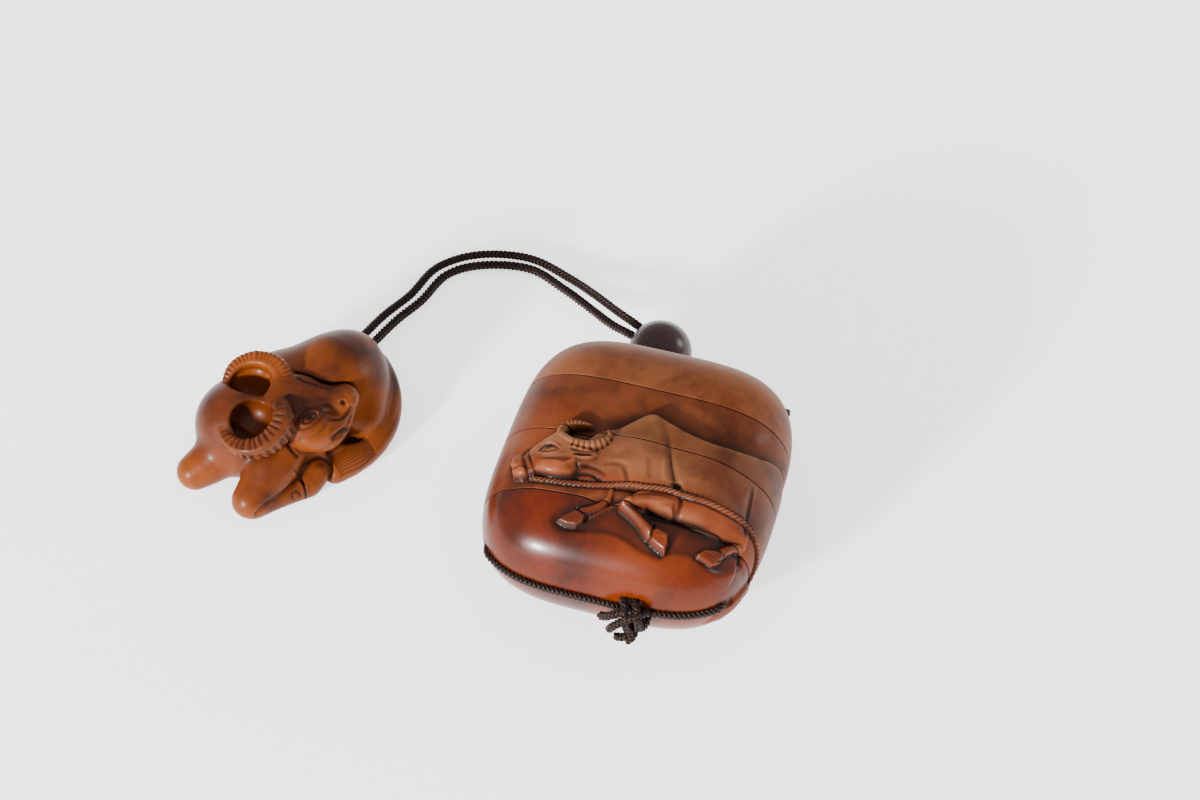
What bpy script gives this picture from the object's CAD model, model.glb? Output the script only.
import math
import bpy
import bmesh
import numpy as np
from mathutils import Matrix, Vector


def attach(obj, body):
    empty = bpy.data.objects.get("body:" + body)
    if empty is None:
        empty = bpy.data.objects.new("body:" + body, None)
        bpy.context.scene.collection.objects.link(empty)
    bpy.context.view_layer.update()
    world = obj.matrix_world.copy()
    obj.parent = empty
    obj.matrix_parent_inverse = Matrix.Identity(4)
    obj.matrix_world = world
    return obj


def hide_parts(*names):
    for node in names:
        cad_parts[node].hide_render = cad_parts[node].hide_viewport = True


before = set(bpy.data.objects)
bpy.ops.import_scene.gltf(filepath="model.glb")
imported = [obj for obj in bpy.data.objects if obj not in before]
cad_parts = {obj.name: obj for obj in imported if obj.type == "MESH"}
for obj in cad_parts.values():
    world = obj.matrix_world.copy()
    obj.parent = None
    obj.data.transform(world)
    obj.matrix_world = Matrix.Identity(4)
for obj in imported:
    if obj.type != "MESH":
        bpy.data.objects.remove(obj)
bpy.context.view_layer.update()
mm = 0.001
print("frame loaded")

# camera: a 100 mm lens looking down at the front of the case from its lower right
view = bpy.data.cameras.new("camera")
view.lens = 100
view.sensor_width = 36
camera = bpy.data.objects.new("camera", view)
bpy.context.scene.collection.objects.link(camera)
camera.location = (0.11703, -0.42192, 0.5765)
aim = Vector((-0.01818, 0.03224, 0)) - camera.location
camera.rotation_euler = aim.to_track_quat("-Z", "Y").to_euler()
bpy.context.scene.camera = camera


# ---- small helpers ----
def smooth(a, b, v):
    t = np.clip((v - a) / (b - a), 0, 1)
    return t * t * (3 - 2 * t)


def softMax(a, b, k):
    h = np.maximum(k - np.abs(a - b), 0) / k
    return np.maximum(a, b) + h * h * k * 0.25


def throughPoints(points, spacing=0.12):  # a smooth line through points, all their values carried along
    p = np.array(points, float)
    ext = np.vstack([2 * p[0] - p[1], p, 2 * p[-1] - p[-2]])
    rows = []
    for i in range(len(p) - 1):
        a, b, c, d = ext[i:i + 4]
        n = max(2, int(math.ceil(np.linalg.norm((c - b)[:2]) / spacing)))
        t = (np.arange(n) / n)[:, None]
        rows.append(0.5 * (2 * b + (c - a) * t + (2 * a - 5 * b + 4 * c - d) * t ** 2
                           + (3 * b - a - 3 * c + d) * t ** 3))
    rows.append(p[-1:])
    return np.vstack(rows)


def blurred(field, sigma, step):  # gaussian blur of a height map, sigma in mm
    n, m = field.shape
    pad = int(4 * sigma / step) + 2
    big = np.pad(field, pad, mode="edge")
    fy = np.fft.fftfreq(big.shape[0], step)[:, None]
    fx = np.fft.rfftfreq(big.shape[1], step)[None, :]
    soft = np.exp(-2 * (math.pi * sigma) ** 2 * (fx ** 2 + fy ** 2))
    return np.fft.irfft2(np.fft.rfft2(big) * soft, big.shape)[pad:pad + n, pad:pad + m]


def insideDistance(u, y, outline):  # distance to a closed outline, positive inside
    p = np.array(outline, float)
    q = np.roll(p, -1, axis=0)
    best = np.full(u.shape, 1e9)
    odd = np.zeros(u.shape, bool)
    for (ax, ay), (bx, by) in zip(p, q):
        dx, dy = bx - ax, by - ay
        t = np.clip(((u - ax) * dx + (y - ay) * dy) / (dx * dx + dy * dy), 0, 1)
        best = np.minimum(best, np.hypot(u - ax - t * dx, y - ay - t * dy))
        if dy:
            odd ^= ((ay > y) != (by > y)) & (u < ax + (y - ay) / dy * dx)
    return np.where(odd, best, -best)


def drape(points, u, y):  # a smooth surface through (u, y, height) points, thin-plate
    p = np.array(points, float)

    def bend(r2):
        return r2 * np.log(r2 + 1e-9)

    n = len(p)
    m = np.zeros((n + 3, n + 3))
    m[:n, :n] = bend((p[:, None, 0] - p[None, :, 0]) ** 2
                     + (p[:, None, 1] - p[None, :, 1]) ** 2) + 0.6 * np.eye(n)
    m[:n, n:] = np.column_stack([np.ones(n), p[:, :2]])
    m[n:, :n] = m[:n, n:].T
    w = np.linalg.solve(m, np.concatenate([p[:, 2], np.zeros(3)]))
    out = w[n] + w[n + 1] * u + w[n + 2] * y
    for k in range(n):
        out += w[k] * bend((u - p[k, 0]) ** 2 + (y - p[k, 1]) ** 2)
    return out


def rounded(outline, spacing=0.5):  # a closed outline drawn smoothly through its points
    p = [tuple(q) for q in outline]
    line = throughPoints(p[-2:] + p + p[:2], spacing)
    marks = [int(np.argmin(np.hypot(line[:, 0] - p[0][0], line[:, 1] - p[0][1])))]
    start = marks[0]
    return line[start:len(line) - 1][:int(len(line) * len(p) / (len(p) + 3))]


def add(tree, kind, into=None,
        **settings):  # one node, its settings, and values, nodes or sockets led into it
    node = tree.nodes.new(kind)
    for name, value in settings.items():
        setattr(node, name, value)
    for socket, given in (into or {}).items():
        if isinstance(given, bpy.types.Node):
            given = given.outputs[0]
        if isinstance(given, bpy.types.NodeSocket):
            tree.links.new(given, node.inputs[socket])
        else:
            node.inputs[socket].default_value = given
    return node


def shade(hexColour):  # "#rrggbb" as seen on a screen to linear light
    c = np.array([int(hexColour[i:i + 2], 16) / 255 for i in (1, 3, 5)])
    return (*np.where(c > 0.04045, ((c + 0.055) / 1.055) ** 2.4, c / 12.92).tolist(), 1.0)


def newObject(name, verts, faces, smoothShade=True):
    mesh = bpy.data.meshes.new(name)
    mesh.from_pydata([tuple(v) for v in verts], [], faces)
    mesh.update()
    if smoothShade:
        mesh.shade_smooth()
    obj = bpy.data.objects.new(name, mesh)
    bpy.context.scene.collection.objects.link(obj)
    return obj


def quickMesh(name, verts, quads):  # many quads at once; a repeated corner makes a triangle
    quads = np.asarray(quads, np.int32)
    mesh = bpy.data.meshes.new(name)
    mesh.vertices.add(len(verts))
    mesh.vertices.foreach_set("co", np.asarray(verts, np.float32).ravel())
    tri = quads[:, 3] == quads[:, 2]
    counts = np.where(tri, 3, 4)
    starts = np.concatenate([[0], np.cumsum(counts)[:-1]])
    flat = quads.ravel()
    keep = np.ones(len(flat), bool)
    keep[np.nonzero(tri)[0] * 4 + 3] = False
    flat = flat[keep]
    mesh.loops.add(len(flat))
    mesh.loops.foreach_set("vertex_index", flat)
    mesh.polygons.add(len(quads))
    mesh.polygons.foreach_set("loop_start", starts)
    mesh.update(calc_edges=True)
    mesh.validate()
    mesh.shade_smooth()
    obj = bpy.data.objects.new(name, mesh)
    bpy.context.scene.collection.objects.link(obj)
    return obj


# ---- the body of the case: a pillow with a rounded-square plan ----
caseShape = {
    "halfWidth": 30.0, "halfLength": 32.26, "halfThick": 16.32, "midHeight": 16.2,
    "planPower": 3.78, "edgePower": 3.97, "facePower": 2.11,
    "seamLid": 12.9, "seamMid": -2.6, "seamBase": -18.4, "seamGap": 0.26, "seamBevel": 0.09,
    "turn": 157.0,
}


def widthAt(y):
    c = caseShape
    return c["halfWidth"] * max(0, 1 - (abs(y) / c["halfLength"]) ** c["planPower"]) ** (1 / c["planPower"])


def thickAt(x, y):
    c = caseShape
    s = ((np.abs(x) / c["halfWidth"]) ** c["planPower"]
         + (abs(y) / c["halfLength"]) ** c["planPower"]) ** (1 / c["planPower"])
    return c["halfThick"] * np.maximum(0, 1 - s ** c["edgePower"]) ** (1 / c["facePower"])


def quarterAt(y, n=420):
    a = np.linspace(0, math.pi / 2, n)
    x = widthAt(y) * np.sin(a) ** 0.75
    z = thickAt(x, y)
    z[-1] = 0
    arc = np.concatenate([[0], np.cumsum(np.hypot(np.diff(x), np.diff(z)))])
    dx, dz = np.gradient(x), np.gradient(z)
    long = np.hypot(dx, dz) + 1e-12
    return x, z, arc, -dz / long, dx / long


def ringAt(y, parts):  # points, normals and arc distances of one cross-section
    x, z, arc, nx, nz = quarterAt(y)
    reach = arc[-1]
    u = parts * 4 * reach
    a = np.abs(u)
    back = a > reach
    a = np.where(back, 2 * reach - a, a)
    sx, sz = np.where(u < 0, -1, 1), np.where(back, -1, 1)
    return (sx * np.interp(a, arc, x), sz * np.interp(a, arc, z),
            sx * np.interp(a, arc, nx), sz * np.interp(a, arc, nz), u)


flatX, _, flatArc, _, _ = quarterAt(-10.0)


def arcOf(x):
    return math.copysign(float(np.interp(abs(x), flatX, flatArc)), x)


# ---- the carving, as a height over the plain body in mm, u round the body and y along it ----
carve = {"step": 0.1, "left": -31.0, "right": 54.0, "low": -31.6, "high": 14.4, "ground": -1.25}
gridU, gridY = np.meshgrid(np.arange(carve["left"], carve["right"], carve["step"]),
                           np.arange(carve["low"], carve["high"], carve["step"]))
height = np.zeros(gridU.shape)
stain = np.zeros(gridU.shape)   # dirt and shading worked into the hollows
polish = np.zeros(gridU.shape)  # where handling has left it glossy
inlay = np.zeros(gridU.shape)   # black inlaid eye
lean = (0.235,
        -0.785)          # a drawn point that stands h above the plain body lies this much further on per mm


def window(line, reach):
    lo = np.min(line[:, :2], axis=0) - reach
    hi = np.max(line[:, :2], axis=0) + reach
    j = np.clip(((lo[0] - carve["left"]) / carve["step"], (hi[0] - carve["left"]) / carve["step"] + 2),
                0, gridU.shape[1]).astype(int)
    i = np.clip(((lo[1] - carve["low"]) / carve["step"], (hi[1] - carve["low"]) / carve["step"] + 2),
                0, gridU.shape[0]).astype(int)
    return slice(i[0], i[1]), slice(j[0], j[1])


def nearLine(points, reach):  # for every grid point near a line: distance, side, run along it, its values
    line = throughPoints(points)
    win = window(line, reach)
    u, y = gridU[win], gridY[win]
    best = np.full(u.shape, 1e9)
    index = np.zeros(u.shape, int)
    for k, p in enumerate(line):
        d = (u - p[0]) ** 2 + (y - p[1]) ** 2
        closer = d < best
        best[closer] = d[closer]
        index[closer] = k
    tangent = np.gradient(line[:, :2], axis=0)
    tangent /= np.linalg.norm(tangent, axis=1)[:, None] + 1e-12
    arc = np.concatenate([[0], np.cumsum(np.linalg.norm(np.diff(line[:, :2], axis=0), axis=1))])
    rel = np.stack([u - line[index, 0], y - line[index, 1]], -1)
    tan = tangent[index]
    ahead = (rel * tan).sum(-1)
    side = tan[..., 0] * rel[..., 1] - tan[..., 1] * rel[..., 0]
    ends = ((index == 0) & (ahead < 0)) | ((index == len(line) - 1) & (ahead > 0))
    distance = np.where(ends, np.sqrt(best), np.abs(side))
    return win, distance, side, arc[index] + np.clip(ahead, -0.3, 0.3), line[index, 2:]


def heightAt(u, y):
    j = np.clip((np.asarray(u) - carve["left"]) / carve["step"], 0, gridU.shape[1] - 1.001)
    i = np.clip((np.asarray(y) - carve["low"]) / carve["step"], 0, gridU.shape[0] - 1.001)
    return sampleMap(height, i, j)


def sampleMap(field, i, j):
    i0, j0 = i.astype(int), j.astype(int)
    fi, fj = i - i0, j - j0
    return ((field[i0, j0] * (1 - fj) + field[i0, j0 + 1] * fj) * (1 - fi)
            + (field[i0 + 1, j0] * (1 - fj) + field[i0 + 1, j0 + 1] * fj) * fi)


def onTop(points):  # lines drawn over the finished forms, put where they fall on them
    out = []
    for x, y, *rest in points:
        h = np.arange(5.5, -2.5, -0.05)
        u, v = arcOf(x) + lean[0] * h, y + lean[1] * h
        hit = np.nonzero(heightAt(u, v) >= h)[0]
        k = hit[0] if len(hit) else len(h) - 1
        out.append((u[k], v[k], *rest))
    return out


def raiseLimb(points, foot=None, blend=0.4, fullness=0.5, ridge=0.0):
    # points are u, y, half width, height
    foot = carve["ground"] if foot is None else foot
    widest = max(p[2] for p in points)
    win, dist, side, _, val = nearLine(points, widest + 0.3)
    w, h = np.maximum(val[..., 0], 0.05), val[..., 1]
    t = np.clip(1 - (dist / w) ** 2, 0, 1) ** fullness
    shape = foot + (h - foot) * t + ridge * np.clip(side / w, -1, 1) * t
    shape[dist > w] = -9
    height[win] = softMax(height[win], shape, blend)


def raisePanel(outline, top, edge=0.8, foot=None, blend=0.25, slope=(0, 0), centre=(0, 0)):
    # a flat-topped form with rolled edges
    foot = carve["ground"] if foot is None else foot
    win = window(np.array(outline, float), 0.3)
    d = insideDistance(gridU[win], gridY[win], outline)
    t = np.clip(d / edge, 0, 1)
    full = top + slope[0] * (gridU[win] - centre[0]) + slope[1] * (gridY[win] - centre[1])
    shape = np.where(d > 0, foot + (full - foot) * np.sqrt(1 - (1 - t) ** 2), -9)
    height[win] = softMax(height[win], shape, blend)


def swell(u, y, ru, ry, amount, turn=0.0):
    win = window(np.array([[u, y]], float), max(ru, ry) * 1.02)
    a = (gridU[win] - u) * math.cos(turn) + (gridY[win] - y) * math.sin(turn)
    b = (gridY[win] - y) * math.cos(turn) - (gridU[win] - u) * math.sin(turn)
    q = np.clip(1 - (a / ru) ** 2 - (b / ry) ** 2, 0, 1)
    height[win] += amount * q * q * (3 - 2 * q)


def bump(points, sign=1.0, dark=0.0, shine=0.0):
    # points are u, y, width, amount; a soft ridge (sign 1) or cut (sign -1) along a line
    widest = max(p[2] for p in points)
    win, dist, side, _, val = nearLine(points, widest * 2.6)
    g = np.exp(-(dist / np.maximum(val[..., 0], 0.05)) ** 2)
    height[win] += sign * val[..., 1] * g
    stain[win] = np.maximum(stain[win], dark * g)
    polish[win] = np.maximum(polish[win], shine * g)


def cut(points, dark=0.8):
    bump(points, -1.0, dark)


def stepUp(points, fade):
    # points are u, y, width, amount; the left of the line stands higher, sinking back over fade
    win, dist, side, _, val = nearLine(points, fade * 1.6)
    rise = smooth(-val[..., 0], val[..., 0], side) * np.exp(-(np.maximum(side, 0) / fade) ** 2)
    ends = np.exp(-(np.maximum(dist - np.abs(side), 0) / 1.0) ** 2)
    height[win] += val[..., 1] * rise * ends


def layRope(points, radius, lay, lift=0.0):  # a rope carved along a line, its strands leaning across it
    line = throughPoints(points, 0.3)
    under = heightAt(line[:, 0], line[:, 1])
    under = np.convolve(np.pad(under, 6, mode="edge"), np.ones(13) / 13, mode="valid")
    line = np.column_stack([line[:, :2], under])
    win, dist, side, run, val = nearLine(line, radius * 1.9)
    across = side / radius
    strand = np.mod(run / lay - across * ox["ropeLean"], 1)
    crown = np.sin(math.pi * strand)
    t = np.clip(1 - across ** 2, 0, 1)
    ends = dist > np.abs(side) + 0.01
    shape = val[..., 0] + lift + radius * (0.1 + np.sqrt(t) * (0.45 + 0.6 * crown))
    shape = np.where((t > 0) & ~ends, shape, -9)
    low = np.exp(-((dist - radius * 1.12) / 0.28) ** 2) * ~ends
    height[win] = np.maximum(height[win] - 0.16 * low, shape)
    between = smooth(0.75, 0.3, crown) * (t > 0) * ~ends
    stain[win] = np.maximum(stain[win], np.maximum(0.7 * low, 0.95 * between))


# ---- carving the ox ----
ox = {
    "body": [(-8, -2), (-4.5, -0.3), (-2, 2.2), (0.4, 4.7), (1.9, 5.3), (3.4, 5), (6.4, 3.9), (10.4, 2.6),
             (15.4, 2), (20.5, 2.7), (25.5, 4.2), (29, 5.8), (33, 7), (37, 6.5), (41, 4.5), (44, 0), (45, -6),
             (44, -12), (41, -17), (36, -19.8), (31, -19.5), (28.5, -17.5), (25, -18), (22, -18.7),
             (16, -18.3),
             (12.4, -17.8), (10, -16), (6, -14.6), (3.6, -14.2), (1, -14.4), (-2, -14.4), (-6, -14.8),
             (-10, -13.6),
             (-11, -8)],
    "bodyHeights": [  # u, y, height over the plain body
        (-8, -3, 1.0), (-4, -1.2, 1.3), (-1, 2.4, 1.5), (1.9, 4.4, 1.6), (5, 3.4, 1.6), (10.4, 1.4, 1.5),
        (16, 0.8, 1.3), (21, 1.4, 0.9), (26, 3, 0.6), (31, 4.6, 0.5), (38, 4, 0.5), (43, -2, 0.3),
        (43, -11, 0.2),
        (1, -2, 2.1), (-3.5, -4.5, 1.9), (2.4, -7, 2.3), (-2, -8, 2.0), (-6.5, -7, 1.7), (-7.5, -10.4, 1.5),
        (-4, -11.4, 1.5), (-8, -12.6, 0.7), (-4.6, -13.4, 0.6), (-1, -12.4, 1.3), (2.4, -11.4, 1.9),
        (7, -6, 2.0), (6.5, -12, 1.8), (11, -6, 1.7), (15, -8, 2.3), (19, -5, 1.7), (23, -2, 0.9),
        (25, -7, 1.2),
        (20, -10.5, 1.9), (24.5, -12, 1.3), (14, -13.6, 1.7), (17, -15.6, 2.0), (22, -15.6, 1.7),
        (26, -14.6, 1.0),
        (14, -17.8, 1.1), (20, -18.2, 0.9), (30, -3, 1.1), (33, -10, 1.2), (31, -15, 0.9), (38, -8, 0.8),
        (38, -15, 0.5)],
    "head": [(-15.7, -4.2), (-17.1, -5.5), (-18.4, -6.9), (-19.9, -8.9), (-21.1, -10.7), (-21.7, -11.1),
             (-23, -10.7), (-24, -11.6), (-24.3, -13.2), (-23.9, -14.8), (-23.2, -16.2), (-22, -16.9),
             (-20.6, -16.6), (-19.2, -15.8), (-17.4, -15.3), (-15, -15.7), (-12.4, -15.6), (-10.4, -15),
             (-9.2, -13.8), (-8.6, -12.2), (-7, -11), (-5.6, -9.4), (-6.6, -7.4), (-11, -6.4), (-14, -5)],
    "headHeights": [
        (-16.4, -7, 2.2), (-18.2, -9.4, 2.1), (-20.2, -11.8, 1.9), (-21.6, -12.4, 1.7), (-23.2, -12.6, 1.6),
        (-22.4, -13.8, 1.9), (-21.2, -14.8, 1.5), (-22.4, -15.4, 1.2), (-21.6, -16.4, 0.5),
        (-19, -12, 2.1), (-18.6, -14.4, 1.4), (-17, -9.9, 2.5), (-14, -9.6, 2.8), (-11, -9.2, 2.6),
        (-8, -9.2, 2.3),
        (-16, -12.4, 2.4), (-13, -12.6, 2.4), (-10.6, -11.8, 2.1), (-16.4, -14.6, 1.4), (-13.6, -14.8, 1.3),
        (-11, -14, 1.3), (-9.6, -12.8, 1.4), (-14, -6.6, 2.6), (-10, -7.4, 2.5), (-7.6, -7.6, 2.0)],
    "hornFar": [(-15.6, -5.4, 1.2, 2.2), (-15.8, -3.8, 1.15, 2.0), (-15.3, -2.3, 1.05, 1.8),
                (-14.1, -1.3, 0.95, 1.6),
                (-12.4, -0.8, 0.8, 1.3), (-10.2, -0.7, 0.45, 0.8)],
    "hornNear": [(-14.8, -6.2, 1.2, 2.7), (-12.8, -7.2, 1.5, 3.1), (-10.6, -7.5, 1.6, 3.2),
                 (-8.6, -7.2, 1.5, 3.2),
                 (-6.9, -6.2, 1.35, 3.1), (-5.7, -4.8, 1.15, 2.8), (-5.5, -3.4, 0.9, 2.4),
                 (-6.1, -2.2, 0.55, 2.0)],
    "ropeRadius": 0.57, "ropeLay": 1.0, "ropeLean": 0.7,
}

# hollowed ground round the animal, deepest against its back and between its legs
body = rounded(ox["body"])
headLine = rounded(ox["head"])
back = insideDistance(gridU, gridY, body)
nearHead = insideDistance(gridU, gridY, headLine)
legField = insideDistance(gridU, gridY, rounded([
    (-4, -17), (-7, -19), (-11, -22), (-12.4, -24.6), (-9.4, -26.4), (-4, -25.8), (0, -25.1), (4, -25.6),
    (8, -26.9), (12.4, -27.3), (14.6, -25.6), (18, -24.9), (22, -25.3), (26, -24.6), (29.4, -22), (31, -18),
    (24, -15), (10, -15)]))
above = np.minimum(back, 0)
hollow = 1.2 * np.exp(-(above / 3.3) ** 2) * smooth(-7, -3, gridY + 0.25 * gridU) * smooth(-14, -2, gridU)
hollow = np.maximum(hollow,
                    0.45 * np.exp(-(np.minimum(nearHead, 0) / 2.6) ** 2) * smooth(-26.5, -23.5, gridU))
hollow = np.maximum(hollow, 0.9 * np.exp(-np.maximum(np.hypot(gridU + 11.5, gridY + 2.6) - 3, 0) ** 2 / 4))
hollow = np.maximum(hollow, 0.85 * smooth(0, 1.5, legField + 0.5 * np.exp(-((gridY + 20) / 2) ** 2)))
hollow *= smooth(50, 42, gridU) * smooth(-29, -26, gridY) * smooth(13.4, 9.5, gridY)
hollow = blurred(hollow, 0.35, carve["step"])
height -= hollow
stain += 0.26 * smooth(0.25, 1.1, hollow)
full = drape(ox["bodyHeights"], gridU, gridY)
edge = 0.9 + 1.5 * smooth(-13, -17, gridY) + 1.2 * smooth(30, 40, gridU)
t = np.clip((back + 0.15) / edge, 0, 1)
rise = np.sqrt(1 - (1 - t) ** 2)
height = np.where(back > -0.15, height + (full - height) * rise, height)

# shoulder, flank and thigh
bump([(-3.4, 0.6, 1.4, 0.15), (0.2, 4, 1.1, 0.2), (2.4, 4.4, 1, 0.2)])
cut(onTop([(4.3, 4.6, 0.9, 0.06), (5.5, 2, 0.9, 0.2), (6.8, -1, 0.8, 0.26), (8.2, -5, 0.7, 0.34),
           (9.8, -8.5, 0.75, 0.45), (11, -10.4, 0.8, 0.6)]), 0.35)
cut(onTop([(5.2, 3, 0.35, 0.02), (6.8, -1, 0.3, 0.05), (8.2, -5, 0.3, 0.08), (10.2, -9.2, 0.3, 0.12)]), 0.25)
swell(11.2, -12.2, 1.7, 1.5, -0.6)
cut(onTop([(3.8, -5.5, 0.6, 0.1), (5, -9.5, 0.6, 0.18)]), 0.3)
bump(onTop([(6.8, -4.6, 0.55, 0.16), (8, -9.3, 0.55, 0.16)]))
cut(onTop([(-0.6, -9.3, 0.45, 0.2), (0.3, -10.6, 0.45, 0.28), (1.1, -12.4, 0.45, 0.2)]), 0.4)
cut(onTop([(-4.4, -9.2, 0.6, 0.12), (-2.4, -8.5, 0.55, 0.25), (-0.4, -8.6, 0.5, 0.12)]), 0.3)
bump(onTop([(-4, -8.2, 0.7, 0.08), (-2, -7.6, 0.7, 0.14), (-0.6, -7.8, 0.6, 0.08)]))
# thigh edge
stepUp([(26.9, -4, 0.25, 0.1), (27, -6.5, 0.25, 0.5), (27.3, -9.5, 0.22, 0.65), (27.7, -12.6, 0.25, 0.7),
        (28.6, -14.6, 0.3, 0.7), (29.3, -17, 0.3, 0.7), (29.8, -20, 0.3, 0.6), (29.9, -23, 0.3, 0.2)][::-1],
        4.5)
bump([(26, -4.6, 0.5, 0.05), (26.2, -7, 0.7, 0.4), (26.7, -11, 0.7, 0.55), (27.6, -14.6, 0.7, 0.5)], -1, 0.9)

# forelegs: the far one first, then the near one over it
raiseLimb([(-1.4, -15.4, 0.8, 0.4), (-1.5, -17.4, 0.8, 0.45), (-2.6, -19.1, 0.8, 0.4),
           (-4.2, -20.4, 0.85, 0.35), (-6.2, -21.6, 1.1, 0.4)], foot=-0.9, blend=0.2)
raiseLimb([(0.9, -17.9, 0.45, -0.3), (-1.6, -19.8, 0.55, -0.35), (-4, -21.9, 0.5, -0.3)], foot=-0.95,
          blend=0.12)
raisePanel([(-7.4, -21.5), (-9.6, -23.2), (-10.9, -24.3), (-8.6, -24.9), (-6.4, -24.8), (-5.2, -23.6),
            (-4.7, -22.2)],
           0.6, 0.5, -0.9, 0.08, (0.06, 0.04), (-7.5, -23))
raisePanel([(3.5, -14.8), (1.7, -17.3), (0.7, -18.8), (1.6, -19.6), (4, -19.1), (7, -18.0), (12.5, -18.2),
            (12.9, -13.4), (6, -13)], 1.5, 1.3, -0.9, 0.3)
swell(7, -16.6, 6, 1.3, 0.65, 0.22)
swell(2.3, -18.1, 2, 1.5, 0.6)
cut([(12.8, -13.6, 0.5, 0.3), (13.3, -15.6, 0.5, 0.5), (13, -18.2, 0.5, 0.6)], 0.65)
raiseLimb([(2, -18.6, 1.2, 1.7), (4.2, -19.7, 1.15, 1.45), (6.4, -21, 1.15, 1.35), (8.6, -22.5, 1.4, 1.35),
           (9.2, -22.8, 1.5, 1.2)], foot=-0.9, blend=0.15, fullness=0.7, ridge=0.3)
raisePanel([(3.2, -18.4), (6.6, -17.4), (7.2, -18.4), (5.6, -20.2)], 0.6, 0.7, -0.9, 0.3)
raisePanel([(9.9, -21.7), (11.2, -22.1), (12.7, -22.3), (13.1, -24), (12.9, -25.9), (11, -25.2),
            (8.8, -24.2)],
           1.35, 0.45, -0.9, 0.06, (0.05, 0.06), (11, -24))
# hind foot
raiseLimb([(29, -16.8, 1.3, 0.9), (27, -18.5, 1.1, 0.8), (25.5, -19.9, 1.05, 0.8), (24.8, -20.7, 1.15, 0.75)],
          foot=-0.9, blend=0.2)
raisePanel([(25.6, -21.0), (22.8, -21.2), (20.6, -22.1), (19.2, -23.6), (19.6, -24.3), (23, -24.5),
            (24.8, -23.2)], 0.7, 0.5, -0.9, 0.08)

# head
top = drape(ox["headHeights"], gridU, gridY)
t = np.clip(nearHead / (0.8 + 0.5 * smooth(-13.5, -15, gridY)), 0, 1)
shaped = np.where(nearHead > 0, -0.5 + (top + 0.5) * np.sqrt(1 - (1 - t) ** 2), -9)
height = softMax(height, shaped, 0.25)
raiseLimb(ox["hornFar"], foot=-0.9, blend=0.2)
raiseLimb(ox["hornNear"], foot=-0.6, blend=0.2)


def notchHorn(points, spacing, depth, first, last, inner, outer):  # ridges across part of a horn's width
    win, dist, side, run, val = nearLine(points, 2)
    across = side / np.maximum(val[..., 0], 0.05)
    wave = np.exp(-((np.mod(run / spacing + 0.5, 1) - 0.5) / 0.16) ** 2)
    mask = (smooth(first - 0.3, first, run) * smooth(last + 0.3, last, run)
            * smooth(outer - 0.15, outer, across) * smooth(inner + 0.15, inner, across))
    height[win] -= depth * wave * mask
    stain[win] = np.maximum(stain[win], 0.9 * wave * mask)


notchHorn(ox["hornNear"], 1.1, 0.3, 2.6, 11.4, 0.1, -0.95)
notchHorn(ox["hornFar"], 0.85, 0.3, 1.0, 7.5, 0.9, -0.5)
# eye
swell(-16.9, -9.4, 2.2, 1.3, -0.3, 0.2)
bump(onTop([(-18.8, -9.1, 0.28, 0.1), (-17.8, -7.1, 0.3, 0.3), (-16.4, -6.75, 0.3, 0.3),
            (-14.5, -7.7, 0.26, 0.12)]))
bump(onTop([(-18.6, -9.5, 0.24, 0.08), (-17, -9.5, 0.26, 0.16), (-15.2, -8.9, 0.26, 0.16),
            (-14.4, -8.1, 0.22, 0.08)]))
cut(onTop([(-18.5, -8.95, 0.22, 0.12), (-17.6, -7.55, 0.22, 0.2), (-16.3, -7.35, 0.22, 0.2),
           (-14.8, -7.95, 0.2, 0.15)]), 1)
cut(onTop([(-18.3, -8.95, 0.22, 0.12), (-17, -9.0, 0.22, 0.16), (-15.3, -8.45, 0.22, 0.16)]), 0.9)
eyeAt = onTop([(-17.2, -8.1)])[0]
r = np.hypot((gridU - eyeAt[0]) / 0.95, (gridY - eyeAt[1]) / 0.85)
height += 0.22 * np.sqrt(np.clip(1 - r * r, 0, 1))
inlay = np.maximum(inlay, np.where(r < 0.55, 1, 0.72) * smooth(1.02, 0.86, r))
# brow, cheek, jaw
swell(-15.6, -7.8, 1.9, 1.3, 0.15, 0.3)
bump(onTop([(-18.2, -10.2, 0.35, 0.1), (-16, -9.9, 0.35, 0.16), (-13.5, -9.2, 0.35, 0.16),
            (-12.4, -8.6, 0.3, 0.06)]))
cut(onTop([(-18.4, -10.6, 0.45, 0.12), (-16, -10.3, 0.45, 0.28), (-13.6, -9.8, 0.45, 0.28),
           (-12, -9.9, 0.4, 0.2)]), 0.35)
swell(-14.4, -14, 4.3, 1.75, 0.5, -0.02)
bump(onTop([(-12.9, -11.3, 0.35, 0.25), (-11.9, -10.8, 0.4, 0.4), (-11, -9.9, 0.4, 0.35)]), 1, 0, 0.5)
cut(onTop([(-10.4, -10.6, 0.35, 0.4), (-9.9, -12, 0.4, 0.5), (-10.1, -13.5, 0.4, 0.5),
           (-11.4, -14.3, 0.3, 0.45),
           (-14, -14.8, 0.25, 0.4), (-16.4, -14.9, 0.25, 0.35), (-18.2, -14.4, 0.25, 0.3)]), 1.0)
bump(onTop([(-18.2, -13.8, 0.25, 0.12), (-16, -14.4, 0.25, 0.22), (-14.5, -14.5, 0.25, 0.18)]), 1, 0, 0.6)
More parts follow.
